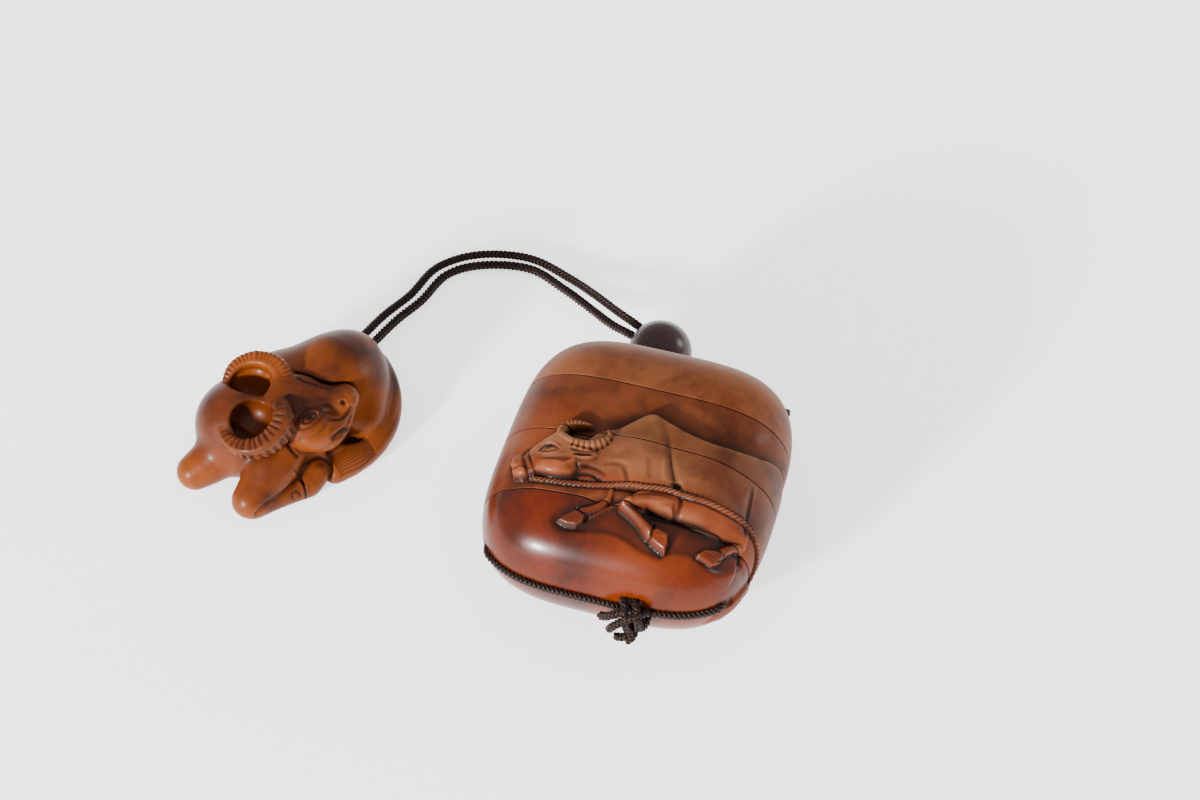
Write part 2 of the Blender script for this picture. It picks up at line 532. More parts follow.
# ear, lying back under the horn
bump(onTop([(-12.8, -6.8, 0.3, 0.3), (-10.6, -6.9, 0.35, 0.35), (-8.2, -7, 0.3, 0.2)]), 1, 0, 0.4)
cut(onTop([(-12.4, -7.3, 0.25, 0.2), (-10.5, -7.5, 0.3, 0.5), (-8.6, -7.2, 0.25, 0.4),
           (-7.2, -6.8, 0.2, 0.2)]), 0.9)
bump(onTop([(-11, -7.9, 0.25, 0.25), (-9, -7.7, 0.25, 0.25), (-7.4, -7.2, 0.2, 0.2)]))
cut(onTop([(-11.2, -8.4, 0.3, 0.5), (-9.8, -8.3, 0.32, 0.6), (-8.4, -7.9, 0.25, 0.4)]), 1.0)
bump(onTop([(-11.2, -9.1, 0.25, 0.25), (-9, -8.9, 0.28, 0.35), (-7.6, -8.4, 0.25, 0.25),
            (-6.8, -7.6, 0.2, 0.1)]))
cut(onTop([(-10.8, -9.6, 0.3, 0.2), (-8.6, -9.4, 0.3, 0.3), (-6.8, -8.4, 0.3, 0.2)]), 0.5)
# muzzle
for at, ru, ry, deep in (((-23.6, -11.9), 0.42, 0.36, 0.5), ((-22.9, -11.6), 0.25, 0.25, 0.25)):
    u0, y0 = onTop([at])[0]
    g = np.exp(-((gridU - u0) / ru) ** 2 - ((gridY - y0) / ry) ** 2)
    height -= deep * g
    stain = np.maximum(stain, 0.9 * smooth(0.1, 0.7, g))
bump(onTop([(-24, -11, 0.4, 0.1), (-23.4, -10.9, 0.5, 0.2), (-22.8, -12.3, 0.5, 0.2),
            (-23.8, -12.7, 0.4, 0.15)]))
cut(onTop([(-24.2, -12.9, 0.28, 0.35), (-23.2, -13.3, 0.28, 0.4), (-22.3, -13.3, 0.26, 0.3),
           (-21.3, -12.9, 0.25, 0.15)]), 0.7)
swell(-20.9, -15.6, 1.5, 1.5, 0.5)
cut(onTop([(-23.4, -14.2, 0.3, 0.2), (-22.6, -15.4, 0.3, 0.4), (-21.6, -16.1, 0.3, 0.35),
           (-20.2, -16, 0.3, 0.2)]), 0.7)
# neck and its folds
cut(onTop([(-10, -11.4, 0.35, 0.2), (-8.4, -11.0, 0.4, 0.3), (-6, -11.1, 0.45, 0.3), (-4, -12, 0.4, 0.1)]),
    0.5)
cut(onTop([(-10, -13.5, 0.4, 0.25), (-8, -13.1, 0.4, 0.3), (-6.4, -13, 0.4, 0.3), (-5, -13.5, 0.4, 0.45),
           (-4.2, -13.8, 0.3, 0.3)]), 1.0)
# hooves and pasterns
cut(onTop([(-7.5, -21.3, 0.2, 0.35), (-6.2, -21.7, 0.2, 0.4), (-4.9, -22.6, 0.22, 0.4),
           (-4.9, -23.3, 0.25, 0.3)]), 1.0)
cut(onTop([(9.3, -21.1, 0.22, 0.5), (9.1, -22.8, 0.22, 0.5), (8.9, -24.8, 0.2, 0.4)]), 1.0)
bump(onTop([(10.2, -22.3, 0.25, 0.15), (11.8, -22.1, 0.25, 0.2), (12.3, -23.5, 0.22, 0.15)]), 1, 0, 0.6)
cut(onTop([(24.1, -20.4, 0.2, 0.3), (24, -21.6, 0.2, 0.35), (23.2, -22.7, 0.2, 0.25)]), 0.8)
cut(onTop([(26, -19.2, 0.2, 0.4), (27.8, -18, 0.2, 0.4)]), 1.0)
cut(onTop([(26, -20, 0.2, 0.4), (27.8, -19, 0.2, 0.35)]), 1.0)
cut(onTop([(20.4, -22.3, 0.15, 0.15), (23.4, -22.4, 0.15, 0.15)]), 0.4)
cut(onTop([(-3.9, -21.4, 0.15, 0.2), (-3.6, -22.3, 0.18, 0.3), (-4.4, -22.9, 0.15, 0.2)]), 0.9)
for k in range(4):
    x0 = 0.4 - 1.1 * k
    cut(onTop([(x0, -19.1 - 0.9 * k, 0.12, 0.15), (x0 - 0.5, -20.1 - 0.9 * k, 0.12, 0.12)]), 0.7)
# undercut shade below the belly
gloom = np.exp(-((gridY + 18.75 - 0.25 * smooth(8, 20, gridU)) / 0.55) ** 2) * smooth(7, 8.6,
    gridU) * smooth(23, 18, gridU)
height -= 0.35 * gloom
stain = np.maximum(stain, 1.25 * gloom)
# rope
noseband = onTop([(-21.1, -9.9), (-20.3, -11.3), (-19.5, -12.8), (-18.8, -14.2), (-18.4, -15.4),
                  (-18.2, -16.4)])
cut(onTop([(-21.9, -10.3, 0.3, 0.15), (-20.9, -12, 0.3, 0.35), (-20, -13.8, 0.3, 0.35),
           (-19.4, -15.8, 0.3, 0.3)]), 0.75)
layRope([p[:2] for p in noseband], 0.42, 0.8)
lead = [(-19, -16.2), (-17, -16.3), (-15, -16.2), (-12, -16.1), (-9, -15.8), (-6, -15.3), (-3, -14.5),
        (0, -13.4),
        (2.5, -12.8), (5, -12.5), (10, -12.1), (15, -12.1), (20, -12.1), (24.6, -12)]
leadLine = [p[:2] for p in onTop(lead)]
leadLine = [(u, y - 0.15) for u, y in leadLine] + [(28.4, -13.2), (31, -13.6), (34, -14.6), (36.6, -16.4),
                                                   (38.6, -19),
                                                     (40, -22)]
layRope(leadLine, ox["ropeRadius"], ox["ropeLay"])
# tail tuft on the side wall
raiseLimb([(38.6, -20, 1.5, 0.9), (36.6, -24.6, 1.9, 1.2), (34.4, -27.2, 1.2, 0.7)], foot=-0.3, blend=0.4)
for k in range(5):
    o = -1.1 + 0.55 * k
    cut([(39 + o, -20.6, 0.16, 0.2), (36.9 + o, -24.6, 0.18, 0.25), (34.8 + 0.7 * o, -27, 0.16, 0.15)], 0.6)
print("ox carved")

# old dirt gathers where the surface lies below its neighbourhood; edges are rubbed lighter
dip = blurred(height, 0.55, carve["step"]) - height
dipWide = blurred(height, 1.8, carve["step"]) - height
stain = np.clip(stain + 2.2 * np.clip(dip - 0.03, 0, 1) + 0.7 * np.clip(dipWide - 0.06, 0, 1), 0, 1.3)
stain = 0.75 * stain + 0.25 * blurred(stain, 0.5, carve["step"])
wear = np.clip(-dip * 2, 0, 0.5) + np.clip(-dipWide * 0.6, 0, 0.3)
onBeast = smooth(0, 0.8, np.maximum(back, nearHead))
wear += 0.6 * onBeast * smooth(-14.5, -9, gridY) * (1 - 0.5 * smooth(15, 26, gridU))
polish = np.maximum(polish, 0.3 * smooth(-11.5, -14, gridY) * smooth(-0.2, 0.5, height))


# ---- case pieces: a fine skin between two seams, hollowed as the solids are ----
def columnParts():
    stops = [(-32, 0.5), (-28, 0.17), (31, 0.2), (38, 0.32), (50, 0.7), (104, 0.9), (118, 0.6), (125, 0.5)]
    us, u, k = [], -32.0, 0
    while u < caseShape["turn"] - 32:
        us.append(u)
        while k + 1 < len(stops) and u >= stops[k + 1][0]:
            k += 1
        u += stops[k][1]
    us = np.array(us)
    return np.where(us > caseShape["turn"] / 2, us - caseShape["turn"], us) / caseShape["turn"]


parts = columnParts()
print("columns", len(parts))


def carvedRing(y, shift=0.0):
    x, z, nx, nz, u = ringAt(y, parts)
    h = heightAt(u, np.full(u.shape, y)) * smooth(-30.5, -29, u) * smooth(53, 50, u) * (abs(y) < 31.4)
    h = h - shift
    return np.stack([x + nx * h, np.full(u.shape, y), np.maximum(z + nz * h + caseShape["midHeight"], 0)],
                    -1), u


def keepMaps(mesh, maps):  # surface readings kept on the mesh for its wood
    for name, values in maps.items():
        mesh.attributes.new(name, "FLOAT", "POINT").data.foreach_set("value", np.asarray(values, np.float32))


def rowsBetween(a, b, stepSize):
    n = max(2, int(round((b - a) / stepSize)))
    return list(np.linspace(a, b, n + 1))


def skin(name, rows):  # closed skin; rows are (y, inset) from the base side up
    rings, us = [], []
    for y, inset in rows:
        p, u = carvedRing(y, inset)
        rings.append(p)
        us.append(u)
    n = len(parts)
    verts = np.vstack(rings + [np.array([[0, rows[0][0], caseShape["midHeight"]],
                                         [0, rows[-1][0], caseShape["midHeight"]]])])
    k = np.arange(n)
    nextK = (k + 1) % n
    quads = []
    for r in range(len(rows) - 1):
        a, b = r * n, (r + 1) * n
        quads.append(np.stack([a + k, b + k, b + nextK, a + nextK], -1))
    poleLow, poleHigh = len(rows) * n, len(rows) * n + 1
    quads.append(np.stack([np.full(n, poleLow), k, nextK, nextK], -1))
    last = (len(rows) - 1) * n
    quads.append(np.stack([np.full(n, poleHigh), last + nextK, last + k, last + k], -1))
    piece = quickMesh(name, verts * mm, np.vstack(quads))
    u, y = np.concatenate(us), np.repeat([r[0] for r in rows], n)
    face = smooth(-30.5, -29, u) * smooth(53, 50, u) * (np.abs(y) < 31.4)
    j, i = (u - carve["left"]) / carve["step"], (y - carve["low"]) / carve["step"]
    i = np.clip(i, 0, gridU.shape[0] - 1.01)
    j = np.clip(j, 0, gridU.shape[1] - 1.01)
    maps = {name: np.append(sampleMap(field, i, j) * face, [0, 0]) for name, field in
            (("stain", stain), ("polish", polish), ("inlay", inlay), ("wear", wear))}
    lip = np.repeat([smooth(0.02, 0.12, r[1]) for r in rows], n)
    maps["stain"][:-2] = np.maximum(maps["stain"][:-2], 0.9 * lip)
    keepMaps(piece.data, maps)
    return piece


half = caseShape["seamGap"] / 2
bev = caseShape["seamBevel"]
def seamRows(low, high, stepSize):
    rows = rowsBetween(low + bev, high - bev, stepSize)
    lead = [(low, bev * 1.6), (low, bev), (low + bev * 0.3, bev * 0.3)]
    tail = [(high - bev * 0.3, bev * 0.3), (high, bev), (high, bev * 1.6)]
    return lead + [(y, 0.0) for y in rows] + tail


lowSeam, midSeam, topSeam = caseShape["seamBase"], caseShape["seamMid"], caseShape["seamLid"]
tierMiddle = skin("tierMiddle", seamRows(lowSeam + half, midSeam - half, 0.16))
tierUpper = skin("tierUpper", seamRows(midSeam + half, topSeam - half, 0.16))


def endRows(y0, sign):  # rows toward the rounded end, even along the middle profile
    y = np.linspace(abs(y0), caseShape["halfLength"] - 0.004, 4000)
    z = np.array([thickAt(np.array(0.0), v) for v in y])
    arc = np.concatenate([[0], np.cumsum(np.hypot(np.diff(y), np.diff(z)))])
    stops = np.linspace(0, arc[-1], int(arc[-1] / 0.34))
    return [(sign * float(np.interp(s, arc, y)), 0.0) for s in stops]


lidRows = [(topSeam + half, bev * 1.6), (topSeam + half, bev), (topSeam + half + bev * 0.3, bev * 0.3)] \
    + endRows(topSeam + half + bev, 1)
lid = skin("lidPiece", lidRows)
fineEnd = [(-y, 0.0) for y in rowsBetween(-lowSeam + half + bev, 27.6, 0.16)]
baseRows = [(lowSeam - half, bev * 1.6), (lowSeam - half, bev), (lowSeam - half - bev * 0.3, bev * 0.3)] \
    + fineEnd + endRows(-27.8, -1)
base = skin("basePiece", baseRows[::-1])
print("skins", [len(o.data.polygons) for o in (lid, tierUpper, tierMiddle, base)])


# ---- each piece hollowed: riser, socket, compartment, cord channels and the groove round the base ----
hollowShape = {
    "compartment": (19.8, 10.2), "riser": (21, 11.4), "riserHeight": 4, "riserFoot": 1.6,
    "socket": (21.3, 11.7),
    "socketDepth": 4.3, "floor": 1.8, "lidTop": 25.6, "baseFloor": -26.2, "channelRadius": 1.7,
    "channelX": 25.2,
    "grooveRadius": 1.45, "grooveSink": 0.35, "roundness": 0.55, "sides": 64,
}


def stacked(name, rings, closing=False):  # a closed solid through equal rings of points
    count = len(rings[0])
    k, turn = np.arange(count), (np.arange(count) + 1) % count
    faces = [np.stack([r * count + k, (r + 1) * count + k, (r + 1) * count + turn, r * count + turn], -1)
             for r in range(len(rings) - 1)]
    last = (len(rings) - 1) * count
    low, high = len(rings) * count, len(rings) * count + 1
    faces += [np.stack([np.full(count, low), k, turn, turn], -1),
              np.stack([np.full(count, high), last + turn, last + k, last + k], -1)]
    verts = np.vstack([*rings, rings[0].mean(0, keepdims=True), rings[-1].mean(0, keepdims=True)])
    return quickMesh(name, verts * mm, np.vstack(faces))


def cell(halfSize, rows):  # upright rounded box; rows are (y, scale) with y rising
    a = (np.arange(hollowShape["sides"]) + 0.5) / hollowShape["sides"] * 2 * math.pi
    x, z = (np.sign(v) * np.abs(v) ** hollowShape["roundness"] * h for v,
            h in zip((np.sin(a), np.cos(a)), halfSize))
    return stacked("cell",
                   [np.stack([x * k, np.full(a.shape, y), z * k + caseShape["midHeight"]], -1) for y,
                    k in rows])


def bore(line, radius, sides=20):  # round cutter along a line in the middle plane
    line = np.array(line, float)
    ahead = np.gradient(line, axis=0)
    ahead /= np.linalg.norm(ahead, axis=1)[:, None]
    aside = np.cross(ahead, (0, 0, 1))
    a = np.arange(sides) / sides * 2 * math.pi
    return stacked("bore", [p + radius * (np.cos(a)[:, None] * s - np.sin(a)[:, None] * np.array((0, 0, 1)))
                            for p, s in zip(line, aside)])


def worked(piece, tool, kind):
    change = piece.modifiers.new("work", "BOOLEAN")
    change.operation, change.object, change.solver = kind, tool, "MANIFOLD"
    bpy.context.view_layer.update()
    mesh = bpy.data.meshes.new_from_object(piece.evaluated_get(bpy.context.evaluated_depsgraph_get()))
    piece.modifiers.clear()
    old, piece.data = piece.data, mesh
    mesh.name = piece.name
    bpy.data.meshes.remove(old)
    bpy.data.objects.remove(tool)


def seated(y, step):  # a compartment end: straight sides, then rounded in
    return [(y - step * d, k) for d, k in ((3, 1), (0.8, 0.93), (0, 0.82))]


def hollowOut(piece, low, high):
    h = hollowShape
    if high < h["lidTop"]:
        worked(piece, cell(h["riser"], [(high - h["riserFoot"], 1), (high + h["riserHeight"], 1)]), "UNION")
        bottom = [(low + h["socketDepth"] + h["floor"],
                   1)] if low > h["baseFloor"] else seated(h["baseFloor"], -1)[::-1]
        worked(piece, cell(h["compartment"], bottom + [(high + h["riserHeight"] + 0.9, 1)]), "DIFFERENCE")
    else:
        worked(piece, cell(h["compartment"], [(low - 1, 1)] + seated(h["lidTop"], 1)), "DIFFERENCE")
    if low > h["baseFloor"]:
        worked(piece, cell(h["socket"], [(low - 0.9, 1), (low + h["socketDepth"], 1)]), "DIFFERENCE")
    for side in (-1, 1):
        x = side * h["channelX"]
        worked(piece, bore([(x, low - 1, caseShape["midHeight"]), (x, high + 1, caseShape["midHeight"])],
                           h["channelRadius"]), "DIFFERENCE")


def grooveAt(a, sink):
    c, s = math.cos(a), math.sin(a)
    power = 2 / caseShape["planPower"]
    x = caseShape["halfWidth"] * math.copysign(abs(c) ** power, c)
    y = -caseShape["halfLength"] * abs(s) ** power
    reach = math.hypot(x, y)
    return (x * (1 - sink / reach), y * (1 - sink / reach), caseShape["midHeight"])


hollowOut(lid, topSeam, 33)
hollowOut(tierUpper, midSeam, topSeam)
hollowOut(tierMiddle, lowSeam, midSeam)
hollowOut(base, -33, lowSeam)
worked(base, bore([grooveAt(a * math.pi, hollowShape["grooveSink"]) for a in np.linspace(0.81, 0.19, 90)],
                  hollowShape["grooveRadius"]), "DIFFERENCE")
print("hollowed", [len(o.data.polygons) for o in (lid, tierUpper, tierMiddle, base)])
# ---- netsuke: one block carved as a curled ox, worked out as a solid field and skinned ----
# A sweep is: start, heading and turn in degrees, length, heights and radii at even steps, how late it turns.
netsukeShape = {
    "cell": 0.245, "low": (-103.0, -26.0, -0.6), "high": (-54.0, 26.4, 27.6),
    "masses": [  # x, y, z, three radii, turn, blend: haunch, barrel, shoulder, withers
        (-73.5, 12.5, 8.5, 11.5, 11.5, 12.8, 0, 1.5), (-80, 5, 8.5, 15, 14, 10.8, 0.3, 3),
        (-88, -3.5, 8.5, 11.5, 12, 10.8, 0.5, 2), (-89.5, -5.5, 13, 8, 7, 6.5, 0.3, 3)],
    "belly": [(-77, -5, 3, 9, 8.5, 5.4, 0.3, 1), (-68.5, 3.5, 2.5, 8, 8.5, 4.5, 0, 1)],
    "thigh": ((-72, 17), -30, -55, 12, (10.5, 9.3, 8, 7), (8.4, 7, 5.7, 5)),
    "thighGap": ((-69.5, -3), 66, -40, 10.5, (9.5, 9, 6, 5), (1.6, 2, 1.7, 1.2)),
    "crease": ((-62, 18.5), -68, -150, 21, (7.6, 6, 5, 5, 6.4), (0.7, 0.9, 1, 1, 0.7), 2.2),
    "tail": ((-66.5, 21.5), -38, -82, 22.5, (8, 5.5, 4, 3.2), (2.6, 2.6, 2.9)),
    "tuft": ((-61, 3.5), -124, -4, 11, (3.2, 3, 2.2), (2.4, 3.2, 3.3, 2.8)),
    "elbows": [((-89, -6), -117), ((-79, -8), -94)],
    "foreleg": (-20, 12, (8.2, 7.2, 5.4, 4.1), (6.4, 5.9, 5, 4.1)),
    "cannon": ((-81, -19.5), 40, 4, 12.5, (3.2, 2.8), (3.4, 2.9, 2.7, 2.8)),
    "hoof": ((-71.5, -10.5), 67, 16, 4.5, (3, 3.6, 3.4), (2.9, 2.9, 2.3)),
    "face": ((-80.5, 1.5), -2, 30, 13, (16.3, 16.8, 16.4, 16, 15.8), (4.8, 4.5, 3.6, 3, 3.2)),
    "jaw": ((-76, -4.2), -10, 88, 11.5, (14.4, 13.4, 12.6, 12.6, 13.4), (4.8, 5, 4.6, 3.3, 2.3)),
    "cheek": (-75, -1.5, 15.4, 5, 4.6, 4.4, 0.3, 1.2),
    "poll": (-81.5, -1.5, 15.6, 4.2, 5.6, 4.2, 0.2, 1.4),
    # a horn is: middle, two radii, first angle, turn, heights, radii at even steps
    "hornFar": ((-87, 0.2), (6.8, 6.1), 10, 190, (18.4, 19.8, 20, 18.8, 16), (2.3, 2.2, 1.8, 1.4, 0.5)),
    "hornNear": ((-84, -8.4), (6.7, 6.4), 45, -221, (18.6, 19, 17.6, 16, 15.3, 15.4, 16.6),
                 (2.1, 2.4, 2.4, 2.2, 1.9, 1.4, 0.55)),
    "hornSeat": ((-87, 0.2), (6.4, 5.8), 60, 130, (17, 17.2, 16.6, 14.8), (2, 2, 1.8, 1.4)),
    "bowlRim": ((-94, -2), -32, 66, 12, (15.4, 15.1, 15.2, 16.4), (0.9, 1.2, 1.3)),
    "hollows": [(-88, 0.2, 18, 4.8, 3.7, 5, 0, 0.8), (-84.6, -8.4, 17.4, 4.6, 4.4, 3.8, 0, 1),
                (-85.6, -10.2, 14.8, 4, 2, 2.6, -0.2, 0.4)],
    "holes": [[(-72.6, 30.4, 4.2, 1.5), (-73.8, 19.2, 4.4, 1.5)],
              [(-74.7, 30.4, 4.2, 1.5), (-76.9, 19.2, 4.4, 1.5)]],
    "ridges": (0.95, 1.4),
}


def evenly(values, at):
    return np.interp(at, np.linspace(0, 1, len(values)), values)


def sweep(start, heading, turn, length, heights, radii, late=1.0, steps=10):
    angle = np.radians(heading + turn * ((np.arange(steps) + 0.5) / steps) ** late)
    x, y = (np.concatenate([[0], np.cumsum(run)]) * length / steps for run in (np.cos(angle), np.sin(angle)))
    at = np.linspace(0, 1, steps + 1)
    return np.stack([start[0] + x, start[1] + y, evenly(heights, at), evenly(radii, at)], -1)


def loopRound(middle, size, first, turn, heights, radii, steps=14):
    at = np.linspace(0, 1, steps + 1)
    angle = np.radians(first + turn * at)
    return np.stack([middle[0] + size[0] * np.cos(angle), middle[1] + size[1] * np.sin(angle),
                     evenly(heights, at), evenly(radii, at)], -1)


def smoothLine3(points, spacing=0.5):
    p = np.array(points, float)
    ext = np.vstack([2 * p[0] - p[1], p, 2 * p[-1] - p[-2]])
    rows = []
    for i in range(len(p) - 1):
        a, b, c, d = ext[i:i + 4]
        n = max(2, int(math.ceil(np.linalg.norm((c - b)[:3]) / spacing)))
        t = (np.arange(n) / n)[:, None]
        rows.append(0.5 * (2 * b + (c - a) * t + (2 * a - 5 * b + 4 * c - d) * t ** 2
                           + (3 * b - a - 3 * c + d) * t ** 3))
    rows.append(p[-1:])
    return np.vstack(rows)


class Field:  # signed distance on a grid, negative inside
    def __init__(self, low, high, cell):
        self.low, self.cell = np.array(low), cell
        axes = [np.arange(low[k], high[k], cell) for k in range(3)]
        self.shape = tuple(len(a) for a in axes)
        self.axes = axes
        self.value = np.full(self.shape, 9.0, np.float32)

    def box(self, low, high):
        i0 = [max(0, int((low[k] - self.low[k]) / self.cell)) for k in range(3)]
        i1 = [min(self.shape[k], int((high[k] - self.low[k]) / self.cell) + 2) for k in range(3)]
        win = tuple(slice(a, b) for a, b in zip(i0, i1))
        grid = np.meshgrid(*[self.axes[k][win[k]].astype(np.float32) for k in range(3)], indexing="ij")
        return win, grid

    def join(self, win, d, k):
        old = self.value[win]
        h = np.maximum(k - np.abs(old - d), 0) / k
        self.value[win] = np.minimum(old, d) - h * h * k * 0.25

    def carveOut(self, win, d, k):
        old = self.value[win]
        h = np.maximum(k - np.abs(old + d), 0) / k
        self.value[win] = np.maximum(old, -d) + h * h * k * 0.25

    def ellipsoid(self, x, y, z, rx, ry, rz, turn=0.0, blend=2.0, minus=False):
        r = max(rx, ry, rz) + 3
        win, (gx, gy, gz) = self.box((x - r, y - r, z - r), (x + r, y + r, z + r))
        c, s = math.cos(turn), math.sin(turn)
        a, b = (gx - x) * c + (gy - y) * s, (gy - y) * c - (gx - x) * s
        q = np.sqrt((a / rx) ** 2 + (b / ry) ** 2 + ((gz - z) / rz) ** 2)
        q2 = np.sqrt((a / rx ** 2) ** 2 + (b / ry ** 2) ** 2 + ((gz - z) / rz ** 2) ** 2) + 1e-6
        d = q * (q - 1) / q2
        (self.carveOut if minus else self.join)(win, d, blend)

    def limb(self, points, blend=1.2, minus=False):
        line = smoothLine3(points, 0.6)
        r = line[:, 3].max() + 2.5
        win, (gx, gy, gz) = self.box(line[:, :3].min(0) - r, line[:, :3].max(0) + r)
        d = np.full(gx.shape, 9.0, np.float32)
        for p, q in zip(line[:-1], line[1:]):
            ax, ay, az = q[:3] - p[:3]
            t = np.clip(((gx - p[0]) * ax + (gy - p[1]) * ay + (gz - p[2]) * az)
                        / (ax * ax + ay * ay + az * az + 1e-9), 0, 1)
            e = np.sqrt((gx - p[0] - t * ax) ** 2 + (gy - p[1] - t * ay) ** 2
                        + (gz - p[2] - t * az) ** 2) - (p[3] + t * (q[3] - p[3]))
            d = np.minimum(d, e)
        (self.carveOut if minus else self.join)(win, d.astype(np.float32), blend)

    def skinned(self):  # surface nets: one vertex in every cell the surface passes through
        v = self.value
        neg = v < 0
        n = neg.astype(np.int8)
        corners = [(i, j, k) for i in (0, 1) for j in (0, 1) for k in (0, 1)]
        nx, ny, nz = (s - 1 for s in v.shape)
        count = sum(n[i:i + nx, j:j + ny, k:k + nz] for i, j, k in corners)
        cells = (count > 0) & (count < 8)
        ids = np.full(cells.shape, -1, np.int64)
        at = np.argwhere(cells)
        ids[cells] = np.arange(len(at))
        total = np.zeros((len(at), 3))
        hits = np.zeros(len(at))
        for a in corners:
            for axis in range(3):
                if a[axis]:
                    continue
                b = list(a)
                b[axis] = 1
                va = v[at[:, 0] + a[0], at[:, 1] + a[1], at[:, 2] + a[2]].astype(float)
                vb = v[at[:, 0] + b[0], at[:, 1] + b[1], at[:, 2] + b[2]].astype(float)
                cross = (va < 0) != (vb < 0)
                t = np.where(cross, va / np.where(cross, va - vb, 1), 0)
                p = np.tile(np.array(a, float), (len(at), 1))
                p[:, axis] += t
                total[cross] += p[cross]
                hits[cross] += 1
        verts = self.low + (at + total / hits[:, None]) * self.cell
        quads = []
        for axis in range(3):
            o1, o2 = [k for k in range(3) if k != axis]
            lowS = [slice(1, -1)] * 3
            lowS[axis] = slice(0, -1)
            highS = [slice(1, -1)] * 3
            highS[axis] = slice(1, None)
            a, b = neg[tuple(lowS)], neg[tuple(highS)]
            edge = np.argwhere(a != b)
            rising = a[tuple(edge.T)]
            base = edge.copy()
            base[:, o1] += 1
            base[:, o2] += 1
            corner = []
            for d1, d2 in ((0, 0), (1, 0), (1, 1), (0, 1)):
                c = base.copy()
                c[:, o1] -= d1
                c[:, o2] -= d2
                corner.append(ids[tuple(c.T)])
            q = np.stack(corner, -1)
            flip = rising if axis != 1 else ~rising
            q[flip] = q[flip][:, ::-1]
            quads.append(q[:, ::-1])
        return verts, np.vstack(quads)


def bandHorn(field, points, spacing, rimAt, depth, tall=1.15, blend=0.35):
    # a horn of squarish section winding in a loop, ridged across its top and outer side
    line = smoothLine3(points, 0.45)
    tangent = np.gradient(line[:, :3], axis=0)
    tangent /= np.linalg.norm(tangent, axis=1)[:, None]
    arc = np.concatenate([[0], np.cumsum(np.linalg.norm(np.diff(line[:, :3], axis=0), axis=1))])
    middle = line[:, :3].mean(0)
    r = line[:, 3].max() * max(1, tall) + 2
    win, (gx, gy, gz) = field.box(line[:, :3].min(0) - r, line[:, :3].max(0) + r)
    best = np.full(gx.shape, 1e9, np.float32)
    index = np.zeros(gx.shape, np.int16)
    for k, p in enumerate(line):
        d = (gx - p[0]) ** 2 + (gy - p[1]) ** 2 + (gz - p[2]) ** 2
        closer = d < best
        best[closer] = d[closer]
        index[closer] = k
    near = best < r * r
    p, t = line[index[near], :3], tangent[index[near]]
    rel = np.stack([gx[near], gy[near], gz[near]], -1) - p
    ahead = (rel * t).sum(-1)
    rel = rel - ahead[:, None] * t
    out = p - middle
    out -= (out * t).sum(-1)[:, None] * t
    out /= np.linalg.norm(out, axis=1)[:, None] + 1e-9
    top = np.cross(out, t)
    top *= np.sign(top[:, 2])[:, None]
    half = line[index[near], 3]
    a, b = (rel * out).sum(-1) / half, (rel * top).sum(-1) / (half * tall)
    q = (np.abs(a) ** 3.2 + np.abs(b) ** 3.2) ** (1 / 3.2)
    run = arc[index[near]] + ahead
    wave = (0.5 + 0.5 * np.cos(2 * math.pi * run / spacing)) ** 2.5
    ends = smooth(0, 1.5, run) * smooth(arc[-1], arc[-1] - 1.2, run)
    onTopFace = smooth(0.35, 0.7,
                       b) * (smooth(rimAt, rimAt - 0.3, a) if rimAt > 0 else smooth(rimAt, rimAt + 0.3, a))
    onSide = smooth(0.45, 0.8, a) * smooth(0.5, 0.2, b)
    d = (q - 1) * half * min(1, tall) + depth * wave * ends * np.maximum(onTopFace, 1.3 * onSide)
    over = np.maximum(0, np.abs(ahead) - 0.3)
    d = np.where(over > 0, np.maximum(d, 0) + over * 0.8 + np.minimum(d, 0) * 0.3, d)
    value = np.full(gx.shape, 9.0, np.float32)
    value[near] = d
    field.join(win, value, blend)


def blur3(value, sigma):
    n = int(3 * sigma + 0.5)
    weights = np.exp(-0.5 * (np.arange(-n, n + 1) / sigma) ** 2)
    weights /= weights.sum()
    for axis in range(3):
        wide = np.pad(value, [(n, n) if k == axis else (0, 0) for k in range(3)], mode="edge")
        cut = [slice(None)] * 3
        total = 0
        for k, w in enumerate(weights):
            cut[axis] = slice(k, k + value.shape[axis])
            total = total + w.astype(np.float32) * wide[tuple(cut)]
        value = total
    return value


def normalsOf(verts, quads):
    face = np.cross(verts[quads[:, 2]] - verts[quads[:, 0]], verts[quads[:, 3]] - verts[quads[:, 1]])
    out = np.zeros_like(verts)
    for k in range(4):
        for axis in range(3):
            out[:, axis] += np.bincount(quads[:, k], face[:, axis], len(verts))
    return out / (np.linalg.norm(out, axis=1)[:, None] + 1e-12)


shape = netsukeShape
block = Field(shape["low"], shape["high"], shape["cell"])
for one in shape["masses"]:
    block.ellipsoid(*one)
for start, heading in shape["elbows"]:
    block.limb(sweep(start, heading, *shape["foreleg"]), 1.4)
block.limb(sweep(*shape["crease"]), 0.5, minus=True)
block.limb(sweep(*shape["tail"]), 0.3)
block.limb(sweep(*shape["tuft"]), 0.3)
for one in shape["belly"]:
    block.ellipsoid(*one)
block.limb(sweep(*shape["cannon"]), 0.4)
block.limb(sweep(*shape["hoof"]), 0.3)
